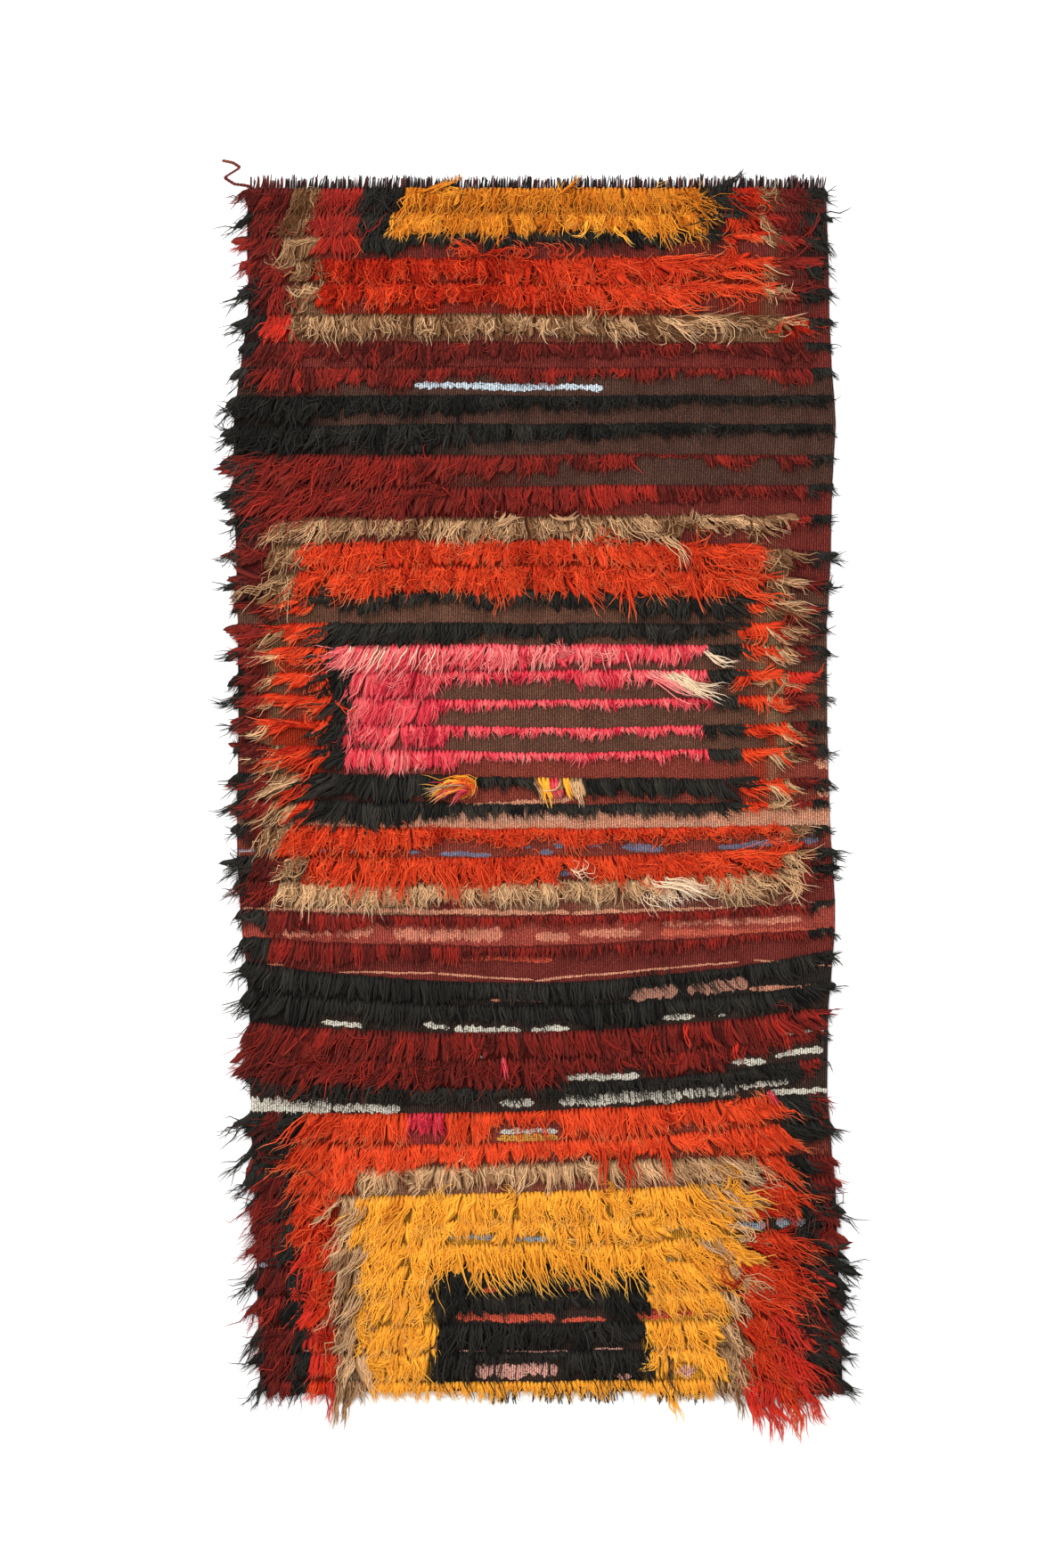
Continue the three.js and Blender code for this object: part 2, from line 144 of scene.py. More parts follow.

# The rows of knots from the upper edge down, charted. First the height of the row on the rug at its
# left, middle and right, then the length of the pile at six places across, how curly it is, the colour of
# the cloth below the row, and the colours across it: a letter and the x where that colour ends.
Row = namedtuple("Row", "left middle right lengths curl cloth colours")
ROW_X = (-430, 0, 400)
LENGTH_X = (-440, -200, 100, 310, 400, 475)
ROWS = [
    Row(1015, 1015, 1015, (58, 52, 56, 56, 48, 44), 1, "wine",
        "M-410 B-362 Q-293 K-222 H274 K320 U366 C384 R392 C402 M440 K"),
    Row(975, 975, 975, (60, 50, 46, 50, 52, 44), 1, "wine",
        "K-470 M-417 B-377 Q-290 K-245 H266 K316 U368 C380 R400 M438 K"),
    Row(937, 942, 942, (64, 34, 28, 32, 50, 44), 0.5, "wine", "R-422 B-359 Q-297 K313 V370 C404 R438 K"),
    Row(895, 897, 897, (60, 52, 56, 54, 52, 34), 1, "wine", "R-413 B-362 U-60 V372 C386 R438 K"),
    Row(855, 855, 852, (60, 50, 54, 50, 48, 30), 1, "wine", "K-458 M-413 C-365 U60 V375 C404 M438 K"),
    Row(801, 803, 798, (56, 46, 44, 54, 48, 26), 0.8, "wine", "K-455 S-410 C415 U453 K"),
    Row(757, 757, 755, (44, 42, 32, 28, 28, 22), 0.7, "wine", "K-467 M453 K"),
    Row(714, 715, 712, (48, 44, 28, 24, 26, 20), 0.7, "umber", "K-472 N458 K"),
    Row(666, 666, 666, (50, 42, 22, 16, 14, 16), 0.75, "umber", "J"),
    Row(615, 618, 618, (56, 52, 26, 16, 14, 16), 0.75, "umber", "J-330 K60 J"),
    Row(567, 567, 567, (74, 64, 32, 24, 24, 20), 0.7, "umber", "K-466 R-100 N453 K"),
    Row(516, 514, 517, (76, 64, 42, 28, 26, 20), 0.7, "wine", "K-470 R84 Q206 M453 K"),
    Row(463, 462, 465, (52, 48, 52, 30, 46, 24), 0.8, "wine", "K-468 R-442 C415 R458 K"),
    Row(415, 424, 410, (54, 58, 58, 56, 52, 24), 1, "wine", "K-492 M-447 C-395 O373 C423 M453 K"),
    Row(367, 380, 365, (62, 64, 64, 56, 58, 30), 1, "brown", "K-485 M-442 C-402 O378 C428 M463 K"),
    Row(324, 339, 321, (36, 30, 36, 44, 54, 26), 0.5, "brown", "K-500 M-414 O-372 K348 O378 C418 R458 K"),
    Row(283, 283, 282, (54, 38, 26, 28, 54, 30), 0.6, "brown",
        "K-502 R-447 C-417 O-350 K333 O383 D395 O403 C428 M458 K"),
    Row(245, 248, 245, (60, 50, 40, 24, 54, 30), 0.6, "brown",
        "K-492 R-450 C-427 O-350 K-330 L110 P290 K340 O378 D390 O398 C423 M458 K"),
    Row(200, 205, 202, (54, 50, 32, 28, 54, 30), 0.6, "brown",
        "K-492 R-455 C-437 O-352 K-312 P150 L288 K340 O385 D397 O405 C415 S458 K"),
    Row(163, 155, 162, (54, 50, 14, 18, 54, 30), 0.6, "brown",
        "K-492 R-455 C-440 V-342 K-305 P291 K340 O383 D395 O403 C413 R458 K"),
    Row(122, 108, 115, (54, 46, 16, 18, 54, 30), 0.6, "brown",
        "K-500 M-458 C-445 V-350 K-312 P280 K340 O400 D412 O420 C423 M453 K"),
    Row(78, 66, 75, (50, 42, 15, 16, 54, 30), 0.5, "rust",
        "K-500 M-442 C-425 V-354 K-317 P288 K336 O388 D400 O408 C423 M458 K"),
    Row(30, 25, 21, (58, 52, 28, 40, 52, 26), 0.35, "rust",
        "K-472 R-442 C-398 O-369 K-8 C0 G17 C23 F30 D43 G58 D72 K340 O388 D400 O408 C428 M460 K"),
    Row(-15, -20, -17, (52, 44, 20, 20, 34, 22), 0.35, "tan",
        "K-485 R-445 C-402 O-370 K340 O381 C428 R458 K"),
    Row(-58, -62, -58, (52, 46, 36, 34, 38, 24), 1, "rust", "K-480 M-452 C-416 O410 C453 K"),
    Row(-110, -110, -98, (54, 70, 62, 60, 58, 28), 0.9, "wine", "K-474 M-427 C-380 O408 C440 M463 K"),
    Row(-150, -150, -129, (52, 46, 46, 52, 46, 28), 0.9, "wine", "K-487 M-431 D205 W258 D425 M463 K"),
    Row(-201, -208, -190, (46, 22, 18, 16, 16, 18), 0.3, "coral", "K-452 R460 K"),
    Row(-249, -258, -237, (50, 30, 24, 20, 22, 20), 0.2, "wine", "K-446 N460 K"),
    Row(-294, -321, -285, (50, 46, 42, 30, 26, 24), 0.3, "black", "K"),
    Row(-339, -360, -334, (58, 52, 48, 38, 34, 28), 0.3, "dark", "K"),
    Row(-393, -405, -375, (66, 60, 56, 52, 50, 34), 0.5, "wine", "K-488 N385 R470 K"),
    Row(-438, -450, -415, (72, 66, 58, 50, 50, 34), 0.8, "dark", "K-488 N300 N470 K"),
    Row(-486, -495, -459, (38, 34, 24, 22, 20, 28), 0.75, "dark", "K445 R475 K"),
    Row(-541, -537, -513, (68, 64, 58, 54, 46, 44), 0.7, "rust",
        "K-455 N-432 K-390 T-215 F-158 T400 K453 N475 K"),
    Row(-592, -589, -561, (72, 44, 40, 52, 46, 46), 0.7, "rust", "K-455 N-437 K-402 T412 K468 N482 K"),
    Row(-633, -625, -615, (62, 50, 46, 50, 46, 46), 0.6, "rust",
        "K-455 N-417 K-402 T-293 D370 T420 K456 N"),
    Row(-678, -675, -654, (66, 68, 64, 66, 64, 52), 0.7, "dark",
        "K-467 N-417 K-398 O-335 D-305 G333 D350 V416 K456 N498 K"),
    Row(-717, -720, -697, (66, 66, 60, 66, 64, 56), 0.7, "dark",
        "K-477 N-427 K-398 V-332 D-302 G325 D344 V418 K460 N490 K"),
    Row(-754, -762, -741, (66, 68, 74, 66, 64, 60), 0.7, "dark",
        "K-470 N-413 K-395 S-372 V-335 D-293 G333 D346 V420 K462 N498 K"),
    Row(-801, -795, -786, (66, 68, 50, 70, 80, 64), 0.7, "dark",
        "K-459 N-413 K-387 S-366 V-332 D-293 G-174 K178 G304 D336 V408 S428 K"),
    Row(-849, -843, -834, (66, 68, 50, 70, 82, 64), 0.7, "dark",
        "K-477 N-417 K-387 S-366 V-335 D-294 G-177 K183 G303 D330 V400 S424 K483 N498 K"),
    Row(-897, -895, -884, (66, 66, 52, 70, 82, 64), 0.7, "dark",
        "K-455 N-402 K-387 S-362 V-337 D-294 G-170 K186 G300 D330 V384 S423 K460 N490 K"),
    Row(-942, -942, -931, (66, 64, 52, 68, 84, 64), 0.7, "dark",
        "K-452 N-402 K-376 S-360 V-335 D-287 G-177 K190 G303 D333 V386 S430 K468 N498 K"),
    Row(-990, -992, -988, (48, 38, 28, 42, 62, 56), 0.6, "dark",
        "K-452 N-410 K-380 V-342 D-285 G295 D348 V445 K475 N498 K"),
]

# Places where the pile is worn short: x from, x to, the height of the row there, and the share that is left
WORN = [
    (-212, -60, 714, 0.68), (35, 60, 567, 0.2), (165, 282, 567, 0.2), (368, 402, 567, 0.2),
    (-165, 60, 204, 0.62), (-165, 60, 158, 0.5), (-150, 60, 112, 0.55), (-165, -70, -60, 0.65),
    (-130, 60, 70, 0.6), (-145, -12, 27, 0.55), (-150, 40, -18, 0.7), (-20, 30, -62, 0.5),
    (115, 215, -60, 0.6), (225, 400, -60, 0.58), (20, 80, -102, 0.6), (-370, -285, -347, 0.6),
    (-195, -20, -355, 0.65), (-10, 60, -360, 0.7), (205, 270, -348, 0.7), (160, 350, -300, 0.55),
    (35, 175, -440, 0.6), (300, 400, -425, 0.6), (385, 492, -415, 0.4), (-216, -155, -540, 0.7),
    (-85, 40, -537, 0.5), (-154, -64, -720, 0.5), (-42, 26, -720, 0.6), (195, 250, -710, 0.45),
    (290, 445, -700, 0.35), (200, 240, -755, 0.6), (-100, -60, -795, 0.6), (-140, 120, -843, 0.68),
    (170, 335, -838, 0.75), (190, 300, -887, 0.88), (-105, 45, -942, 0.35), (225, 270, -938, 0.5),
]

# Which way the pile lies: degrees from straight down the rug, towards +X, at these places across it
COMB_X = (-505, -430, -350, -300, 0, 280, 335, 390, 480)
COMB = [
    (1015, -75, -30, -20, -28, -10, 60, 74, 85, 30),
    (900, -78, -32, -16, -10, 15, 80, 88, 90, 40),
    (803, -78, -25, -17, -12, 5, 75, 78, 80, 75),
    (740, -75, -25, -19, -15, 0, 15, 22, 30, 65),
    (640, -60, -25, -19, -15, 0, 8, 14, 20, 55),
    (540, -70, -60, -51, -45, -8, 20, 25, 30, 55),
    (463, -78, -50, -35, -25, 8, 60, 68, 75, 80),
    (380, -80, -45, -33, -25, 8, 45, 66, 75, 85),
    (330, -82, -70, -72, -25, -2, 10, 86, 85, 85),
    (250, -82, -76, -72, -50, -8, 10, 86, 92, 85),
    (215, -83, -76, -72, -24, -4, 10, 86, 92, 85),
    (120, -84, -76, -72, -22, -4, 8, 86, 90, 85),
    (30, -78, -50, -72, -12, 30, 18, 84, 80, 80),
    (-100, -76, -40, -28, -10, 22, 64, 72, 82, 82),
    (-205, -45, -15, -6, 0, 0, 5, 12, 20, 45),
    (-310, -60, -25, -13, -5, 0, 10, 20, 30, 75),
    (-430, -66, -48, -38, -32, 22, 26, 33, 40, 78),
    (-560, -65, -52, -29, -14, 5, 38, 46, 55, 62),
    (-700, -42, -42, -32, -25, 4, 54, 58, 62, 56),
    (-800, -42, -42, -28, -20, 10, 50, 55, 60, 62),
    (-900, -40, -34, -19, -10, 6, 36, 43, 50, 62),
    (-1000, -40, -20, -9, -2, 4, 20, 29, 38, 54),
]

# Pile shorter than this is worn down to tufts
SHORT = 32.0

# How far from the middle of the rug its pile reaches to the left and right: the black locks reach furthest
RIM_REACH = 550.0
INNER_REACH = 524.0

# Pile combed more than SIDEWAYS degrees turns in a hook: the first knots of a patch run further down the rug
# before they turn, by up to HOOK_MORE past HOOK_LEAST, over about HOOK_WIDTH of the patch
SIDEWAYS = 60
HOOK_LEAST = 4.0
HOOK_MORE = 24.0
HOOK_WIDTH = 16.0

# Charted lengths are measured down the rug, but along the pile where it is combed more than ACROSS degrees
ACROSS = 72

# How far other pile runs straight down the rug before it turns, and how many degrees it turns at most
FALL = 11.0
MOST_TURN = 100.0

# Rows more curly than this have curls that stand off them. Past this share of the way to the rim, this share
# of the knots has wisps that stray over it
CURLY = 0.7
AT_RIM = 0.9
STRAY_SHARE = 0.4

# For each wool: strands for each knot in long and in short pile, their width, how much the shortest and the
# longest differ from the charted length, curls that stand off each knot, wisps of each knot at the rim, how
# unevenly it is dyed, how much darker its beds are painted as shade below the strands, how tangled its strands
# are, and whether they are slack and bend in more steps
Habit = namedtuple("Habit", "long short width least most curls wisps uneven depth tangle slack")
HABITS = {
    "black": Habit(3, 6, 2.7, 0.62, 1.2, 1, 4, 0.15, 0.16, 1.3, False),
    "red": Habit(4, 5, 2.2, 0.62, 1.2, 0, 2, 0.1, 0.1, 1.4, False),
    "orange": Habit(5, 5, 2.1, 0.64, 1.2, 2, 2, 0.17, 0.16, 0.9, True),
    "gold": Habit(6, 6, 2.3, 0.66, 1.2, 1, 2, 0.14, 0.08, 0.7, True),
    "camel": Habit(6, 6, 2.0, 0.5, 1.26, 1, 2, 0.2, 0.35, 0.6, True),
    "pink": Habit(7, 7, 1.9, 0.6, 1.2, 0, 2, 0.13, 0.14, 0.8, False),
    "white": Habit(8, 8, 2.4, 0.6, 1.2, 0, 2, 0.2, 0.25, 0.5, True),
}

# Odd tufts that stand out of the rows: where they are rooted, their wool, how many strands over what width,
# their length, the way they lie (degrees from straight down, towards +X), degrees of curl for each
# millimetre, and how high they lie on the pile. From NEST_BEND on they are a tangled nest. Tufts narrower
# than OPEN_TUFT close towards their tips, and those below END_Y are stouter by END_STOUT
NEST_BEND = 3
OPEN_TUFT = 45
END_Y = -980
END_STOUT = 1.3
ACCENTS = [
    (-190, 1010, "H", 12, 34, 74, 117, 0.1, 6), (38, 1006, "H", 9, 18, 56, 150, -0.2, 6),
    (300, 1006, "K", 16, 40, 36, 168, 0.3, 6), (302, 1008, "K", 7, 10, 66, 146, -0.3, 6),
    (226, 842, "T", 9, 16, 34, 40, 3.0, 8), (-292, 946, "R", 2, 3, 62, 118, 0.3, 12),
    (-318, 942, "O", 3, 4, 62, 70, -3.2, 12), (-120, 902, "O", 16, 44, 52, 165, 5.0, 9),
    (-90, 904, "U", 16, 44, 54, 190, -4.5, 9), (-128, 906, "T", 12, 44, 44, 150, 6.0, 10),
    (-30, 902, "O", 14, 50, 40, 150, 4.0, 9), (40, 902, "O", 12, 60, 46, 120, 3.4, 9),
    (-75, 452, "D", 10, 12, 52, 125, -0.5, 10), (-48, 470, "D", 10, 24, 36, -30, -1.0, 8),
    (28, 468, "D", 9, 18, 50, 96, 0.6, 9), (150, 462, "D", 8, 30, 70, 80, -0.4, 9),
    (215, 440, "D", 9, 22, 82, 62, -0.5, 10), (-68, 372, "O", 7, 16, 82, 0, 0.1, 9),
    (150, 368, "O", 6, 10, 84, 20, -0.3, 9), (255, 368, "O", 6, 10, 84, 10, 0.3, 9),
    (80, 366, "O", 6, 14, 80, 30, 0.2, 9), (282, 240, "W", 11, 8, 66, 78, 0.2, 9),
    (190, 204, "I", 18, 40, 96, 60, 0.25, 8), (225, 202, "W", 32, 40, 92, 68, 0.1, 8),
    (20, 246, "I", 8, 60, 52, -25, 0.3, 7), (110, 244, "I", 8, 80, 46, 20, -0.3, 7),
    (-270, 246, "I", 20, 90, 62, -48, 0.2, 7), (-240, 247, "W", 9, 150, 52, -40, 0.3, 8),
    (-180, 246, "I", 8, 60, 54, -20, 0.2, 7), (-110, 26, "G", 6, 20, 90, -100, 0.4, 9),
    (-114, 24, "H", 14, 24, 80, -96, 0.6, 9), (-120, 22, "D", 9, 24, 84, -92, 0.3, 9),
    (-150, 24, "H", 14, 10, 74, 150, -2.95, 10), (-146, 20, "T", 10, 8, 66, 146, -2.9, 11),
    (-116, 17, "F", 26, 26, 56, -104, 0.6, 10), (-120, 13, "L", 12, 30, 60, -94, 0.7, 10),
    (88, 964, "G", 7, 8, 50, 20, -2.5, 9), (130, 958, "G", 5, 6, 56, 36, 0.4, 9),
    (66, -128, "W", 11, 24, 40, 40, 4.5, 10), (205, -140, "W", 19, 40, 105, 76, 0.1, 9),
    (196, -168, "W", 14, 50, 46, 20, 3.0, 8), (-235, -124, "O", 14, 50, 84, -12, 0.2, 9),
    (-160, -122, "T", 14, 44, 88, 8, 0.3, 9), (-300, -128, "O", 8, 40, 70, -20, 0.1, 9),
    (-95, -122, "O", 6, 12, 66, 0, 0.3, 9), (138, -122, "O", 5, 10, 54, 5, 0.0, 9),
    (205, -122, "O", 6, 18, 58, 10, 0.0, 9), (250, -390, "S", 6, 10, 48, 10, 0.0, 9),
    (332, -420, "S", 4, 8, 28, 15, 0.0, 9), (-55, -446, "F", 6, 10, 42, 5, 0.0, 9),
    (392, -500, "F", 6, 14, 30, 60, -1.0, 8), (-362, -540, "O", 16, 60, 98, -58, 0.1, 9),
    (-372, -585, "O", 12, 50, 90, -50, 0.0, 9), (-378, -640, "V", 8, 40, 80, -44, 0.0, 9),
    (400, -560, "O", 7, 20, 92, 66, 0.1, 9), (395, -610, "O", 7, 20, 100, 64, -0.2, 9),
    (405, -735, "O", 9, 24, 118, 62, -0.15, 9), (415, -800, "V", 8, 24, 106, 52, -0.1, 9),
    (405, -872, "S", 9, 30, 96, 44, -0.1, 9), (410, -930, "S", 9, 30, 100, 44, -0.1, 9),
    (320, 880, "T", 12, 40, 66, 80, 0.1, 9), (215, 840, "T", 10, 50, 80, 70, 0.2, 9),
    (300, 400, "T", 12, 70, 92, 62, 0.1, 9), (345, 360, "T", 12, 50, 96, 66, 0.1, 9),
    (400, 330, "D", 8, 30, 74, 84, 0.1, 9), (-300, -690, "D", 10, 30, 75, -40, -0.1, 9),
    (-295, -765, "D", 9, 30, 72, -42, -0.1, 9), (-300, -840, "D", 12, 30, 74, -40, -0.1, 9),
    (-300, -890, "D", 7, 30, 60, -36, -0.1, 9), (270, -655, "G", 18, 60, 92, 55, 0.1, 9),
    (285, -612, "D", 22, 80, 100, 64, 0.0, 9), (290, -660, "D", 14, 50, 84, 58, 0.0, 9),
    (290, -745, "D", 12, 40, 70, 50, 0.1, 9), (108, -589, "O", 9, 16, 92, 4, 0.0, 9),
    (150, -589, "O", 12, 24, 96, 14, -0.1, 9), (212, -585, "O", 9, 16, 92, 8, 0.1, 9),
    (-20, -541, "O", 8, 60, 70, 6, 0.2, 9), (40, -765, "G", 50, 280, 94, 14, 0.2, 8),
    (-60, -765, "G", 30, 240, 98, 12, 0.3, 8), (30, -944, "K", 34, 400, 88, 6, 0.0, 11),
    (-290, -486, "K", 26, 180, 58, -16, 0.1, 9), (-50, -495, "K", 10, 200, 60, 5, 0.1, 9),
    (190, -484, "K", 52, 300, 50, 18, 0.1, 9), (-90, -355, "K", 16, 200, 62, 8, 0.1, 9),
    (260, -300, "K", 26, 210, 52, 34, 0.2, 10), (-318, -990, "C", 20, 40, 84, -14, 0.0, 6),
    (-346, -990, "S", 7, 14, 84, -8, 0.1, 6), (228, -990, "G", 7, 12, 74, 10, 0.0, 6),
    (338, -988, "C", 7, 12, 72, 12, 0.0, 6), (362, -988, "S", 20, 20, 92, 8, 0.1, 6),
    (390, -988, "S", 24, 22, 110, 14, 0.1, 6), (418, -986, "V", 20, 20, 118, 20, -0.1, 6),
    (444, -985, "S", 16, 18, 92, 26, 0.1, 6),
]

# Bands and patches of other wefts, in runs of one colour: where each starts and stops across the rug, its
# height on the rug at the start and at the stop, and how wide it is
BAND_RUNS = [
    ("sky", [(-207, 112, 686, 682, 12)]),
    ("violet", [
        (-507, -350, -98, -98, 6), (-334, -304, -98, -98, 6), (-218, -196, -100, -100, 6),
        (-165, -76, -102, -104, 9), (-310, -245, -78, -80, 8), (-27, -9, -92, -92, 8),
        (26, 116, -86, -82, 14), (3, 28, -100, -100, 10), (142, 214, -92, -95, 12),
        (303, 476, -91, -80, 11), (33, 70, -135, -135, 10),
    ]),
    ("tan", [
        (-380, 56, -56, -54, 14), (56, 498, -50, -30, 24), (-140, 56, -24, -12, 12), (466, 500, 50, 48, 18),
        (470, 500, 4, 2, 18), (436, 500, -36, -40, 20), (-500, -244, -196, -198, 8),
        (-244, 56, -198, -204, 10), (56, 490, -204, -189, 10),
    ]),
    ("brick", [
        (-454, -274, -234, -234, 18), (-244, -57, -237, -237, 24), (-4, 56, -243, -243, 18),
        (70, 176, -238, -236, 14), (206, 446, -220, -213, 12),
    ]),
    ("clay", [(206, 498, -236, -232, 12)]),
    ("tan", [
        (-462, -424, -290, -290, 4), (-334, -170, -302, -303, 4), (-170, -4, -304, -316, 4),
        (-4, 340, -316, -284, 4), (363, 498, -282, -291, 4),
    ]),
    ("coral", [(-132, 26, -280, -280, 10)]),
    ("dun", [(153, 238, -341, -333, 24), (252, 356, -331, -323, 22)]),
    ("tan", [(356, 490, -330, -326, 9)]),
    ("brick", [(-80, 15, -349, -350, 5)]),
    ("cream", [
        (-364, -290, -387, -393, 10), (-192, -147, -390, -396, 10), (-140, -27, -399, -400, 15),
        (-12, 56, -398, -396, 12), (206, 266, -378, -376, 9), (296, 318, -372, -372, 8),
        (393, 483, -405, -400, 8), (400, 483, -442, -432, 12), (-117, -87, -446, -446, 8),
        (56, 70, -432, -432, 8), (40, 172, -479, -476, 13), (326, 386, -454, -453, 12),
        (-488, -345, -527, -529, 34), (-345, -230, -531, -532, 17), (-64, -4, -522, -522, 12),
        (36, 244, -519, -509, 23), (244, 340, -505, -498, 17), (340, 430, -493, -485, 12),
        (385, 492, -504, -500, 12),
    ]),
    ("honey", [(-70, 36, -581, -580, 13)]),
    ("cream", [(-64, 36, -571, -569, 10)]),
    ("slate", [
        (-154, -64, -747, -747, 10), (-42, 26, -750, -750, 9), (48, 70, -750, -750, 9),
        (198, 243, -732, -732, 8), (206, 236, -788, -788, 10), (326, 386, -730, -729, 14),
        (400, 453, -722, -720, 18), (476, 498, -712, -712, 9), (-470, -447, -795, -795, 9),
    ]),
    ("coral", [
        (-94, -64, -838, -838, 9), (40, 78, -837, -837, 8), (-138, 32, -881, -883, 15),
        (40, 116, -888, -888, 12), (166, 334, -878, -868, 20),
    ]),
    ("rose", [
        (-394, -230, -940, -940, 4), (-132, 56, -940, -940, 4), (93, 146, -936, -936, 4),
        (190, 296, -933, -933, 6), (386, 483, -924, -921, 4), (-110, 36, -970, -970, 27),
        (228, 266, -972, -972, 18),
    ]),
    ("coral", [(-477, -459, -885, -885, 15)]),
    ("rose", [(130, 160, -982, -982, 12)]),
]
BANDS = [(name, *band) for name, bands in BAND_RUNS for band in bands]

# Where warp ends show at the lower edge, and the route of the loose yarn at the upper left corner
LOWER_WARPS = [(-80, -30), (-5, 58), (72, 132), (206, 282)]
LOOSE_YARN = [
    (-480, 1020), (-492, 1023), (-510, 1025), (-527, 1036), (-500, 1053), (-512, 1061), (-531, 1065),
]


def srgb(red, green, blue):
    """A colour in the shader's linear numbers, from the 0 to 255 that a screen shows."""
    linear = []
    for part in (red, green, blue):
        share = part / 255
        linear.append(share / 12.92 if share <= 0.04045 else ((share + 0.055) / 1.055) ** 2.4)
    return (*linear, 1.0)


CLOTH_COLOURS = {
    "wine": srgb(112, 46, 40),
    "brown": srgb(100, 67, 53),
    "umber": srgb(80, 55, 46),
    "dark": srgb(60, 46, 40),
    "rust": srgb(132, 60, 48),
    "tan": srgb(202, 146, 118),
    "coral": srgb(158, 70, 58),
    "black": srgb(46, 40, 37),
}
WEFT_COLOURS = {
    "sky": srgb(206, 222, 232),
    "violet": srgb(120, 114, 134),
    "tan": srgb(208, 142, 112),
    "dun": srgb(180, 126, 106),
    "coral": srgb(222, 92, 68),
    "clay": srgb(192, 90, 70),
    "brick": srgb(204, 124, 100),
    "cream": srgb(228, 222, 204),
    "honey": srgb(220, 156, 70),
    "slate": srgb(168, 180, 190),
    "rose": srgb(240, 176, 158),
}
PACKED_WEFTS = ("tan", "dun", "brick", "clay", "violet")
LOOSE_WEFTS = ("sky", "cream", "coral", "honey", "slate", "rose")


def lattice(ix, iy, seed):
    """A number from 0 to 1 for each place on a grid, the same on every run."""
    value = np.sin(ix * 127.1 + iy * 311.7 + seed * 74.7) * 43758.5453
    return value - np.floor(value)


def noise(x, y, size, seed):
    """Smooth noise from -1 to 1, with bumps about size across."""
    px, py = np.asarray(x, float) / size, np.asarray(y, float) / size
    ix, iy = np.floor(px), np.floor(py)
    fx, fy = px - ix, py - iy
    fx, fy = fx * fx * (3 - 2 * fx), fy * fy * (3 - 2 * fy)
    low = lattice(ix, iy, seed) * (1 - fx) + lattice(ix + 1, iy, seed) * fx
    high = lattice(ix, iy + 1, seed) * (1 - fx) + lattice(ix + 1, iy + 1, seed) * fx
    return (low * (1 - fy) + high * fy) * 2 - 1


# Places on the cloth


def edge(side, y):
    """The x of the cloth's left or right edge at y."""
    table = SELVEDGES[::-1]
    return np.interp(y, table[:, 0], table[:, 1 if side == "left" else 2])


def row_height(row, x):
    """The y of a row of knots at x: a curve through its three charted places, a little uneven."""
    a, b, c = ROW_X
    curve = (
        row.left * (x - b) * (x - c) / ((a - b) * (a - c))
        + row.middle * (x - a) * (x - c) / ((b - a) * (b - c))
        + row.right * (x - a) * (x - b) / ((c - a) * (c - b))
    )
    return curve + 2.0 * noise(x, row.middle * np.ones_like(x), 90, 3)


def letters_across(row, x, shift=0.0):
    """The letter of the wool at each x of a row."""
    runs = row.colours.split()
    letters = np.array([run[0] for run in runs])
    ends = np.array([float(run[1:]) for run in runs[:-1]]) + shift
    return letters[np.searchsorted(ends, x)]


def pile_length(row, x):
    """The length of the pile at x of a row: uneven, and short in the worn places."""
    y = row_height(row, x)
    long = np.interp(x, LENGTH_X, row.lengths)
    short = np.clip((34 - long) / 8, 0, 1)
    share = 1 + (0.18 + 0.22 * short) * noise(x, y, 60, 7) + (0.16 + 0.24 * short) * noise(x, y, 24, 8)
    for start, stop, level, left in WORN:
        within = np.clip(np.minimum(x - start, stop - x) / 10 + 0.5, 0, 1) * (np.abs(y - level) < 16)
        share = share * (1 - within) + left * within
    return long * share


def comb_angle(x, y):
    """Which way the pile lies, in degrees from straight down the rug."""
    table = np.array(COMB[::-1], float)
    stack = np.array([np.interp(y, table[:, 0], column) for column in table[:, 1:].T])
    place = np.clip(np.searchsorted(COMB_X, x) - 1, 0, len(COMB_X) - 2)
    left = np.take(COMB_X, place)
    right = np.take(COMB_X, place + 1)
    share = np.clip((x - left) / (right - left), 0, 1)
    index = np.arange(len(x))
    return stack[place, index] * (1 - share) + stack[place + 1, index] * share


def outside(x, y):
    """How far a point lies past the cloth's long edges or ends, or less than 0 on the cloth."""
    past_sides = np.maximum(edge("left", y) - x, x - edge("right", y))
    past_ends = np.maximum(y - TOP, BOTTOM - y)
    return np.maximum(past_sides, past_ends)


# Meshes from arrays


def add_object(name, data):
    thing = bpy.data.objects.new(name, data)
    bpy.context.scene.collection.objects.link(thing)
    return thing


def make_piece(name, points, face_sets, material, smooth=True, floats=(), uv=None):
    """A mesh object from points in millimetres. Each set of faces is an array with one row a face.

    uv is one pair of numbers a point, or one a face corner.
    """
    mesh = bpy.data.meshes.new(name)
    corners = np.concatenate([faces.ravel() for faces in face_sets]).astype(np.int32)
    sizes = np.concatenate([np.full(len(faces), faces.shape[1]) for faces in face_sets])
    starts = np.concatenate([[0], np.cumsum(sizes)[:-1]]).astype(np.int32)
    mesh.vertices.add(len(points))
    mesh.vertices.foreach_set("co", (np.asarray(points, np.float32) * MM).ravel())
    mesh.loops.add(len(corners))
    mesh.loops.foreach_set("vertex_index", corners)
    mesh.polygons.add(len(sizes))
    mesh.polygons.foreach_set("loop_start", starts)
    mesh.polygons.foreach_set("use_smooth", np.full(len(sizes), smooth))
    for label, values in floats:
        attribute = mesh.attributes.new(label, "FLOAT", "POINT")
        attribute.data.foreach_set("value", np.asarray(values, np.float32))
    if uv is not None:
        layer = mesh.uv_layers.new(name="OFBake")
        pairs = uv[corners] if len(uv) == len(points) else uv
        layer.uv.foreach_set("vector", np.asarray(pairs, np.float32).ravel())
    mesh.update(calc_edges=True)
    mesh.materials.append(material)
    return add_object(name, mesh)


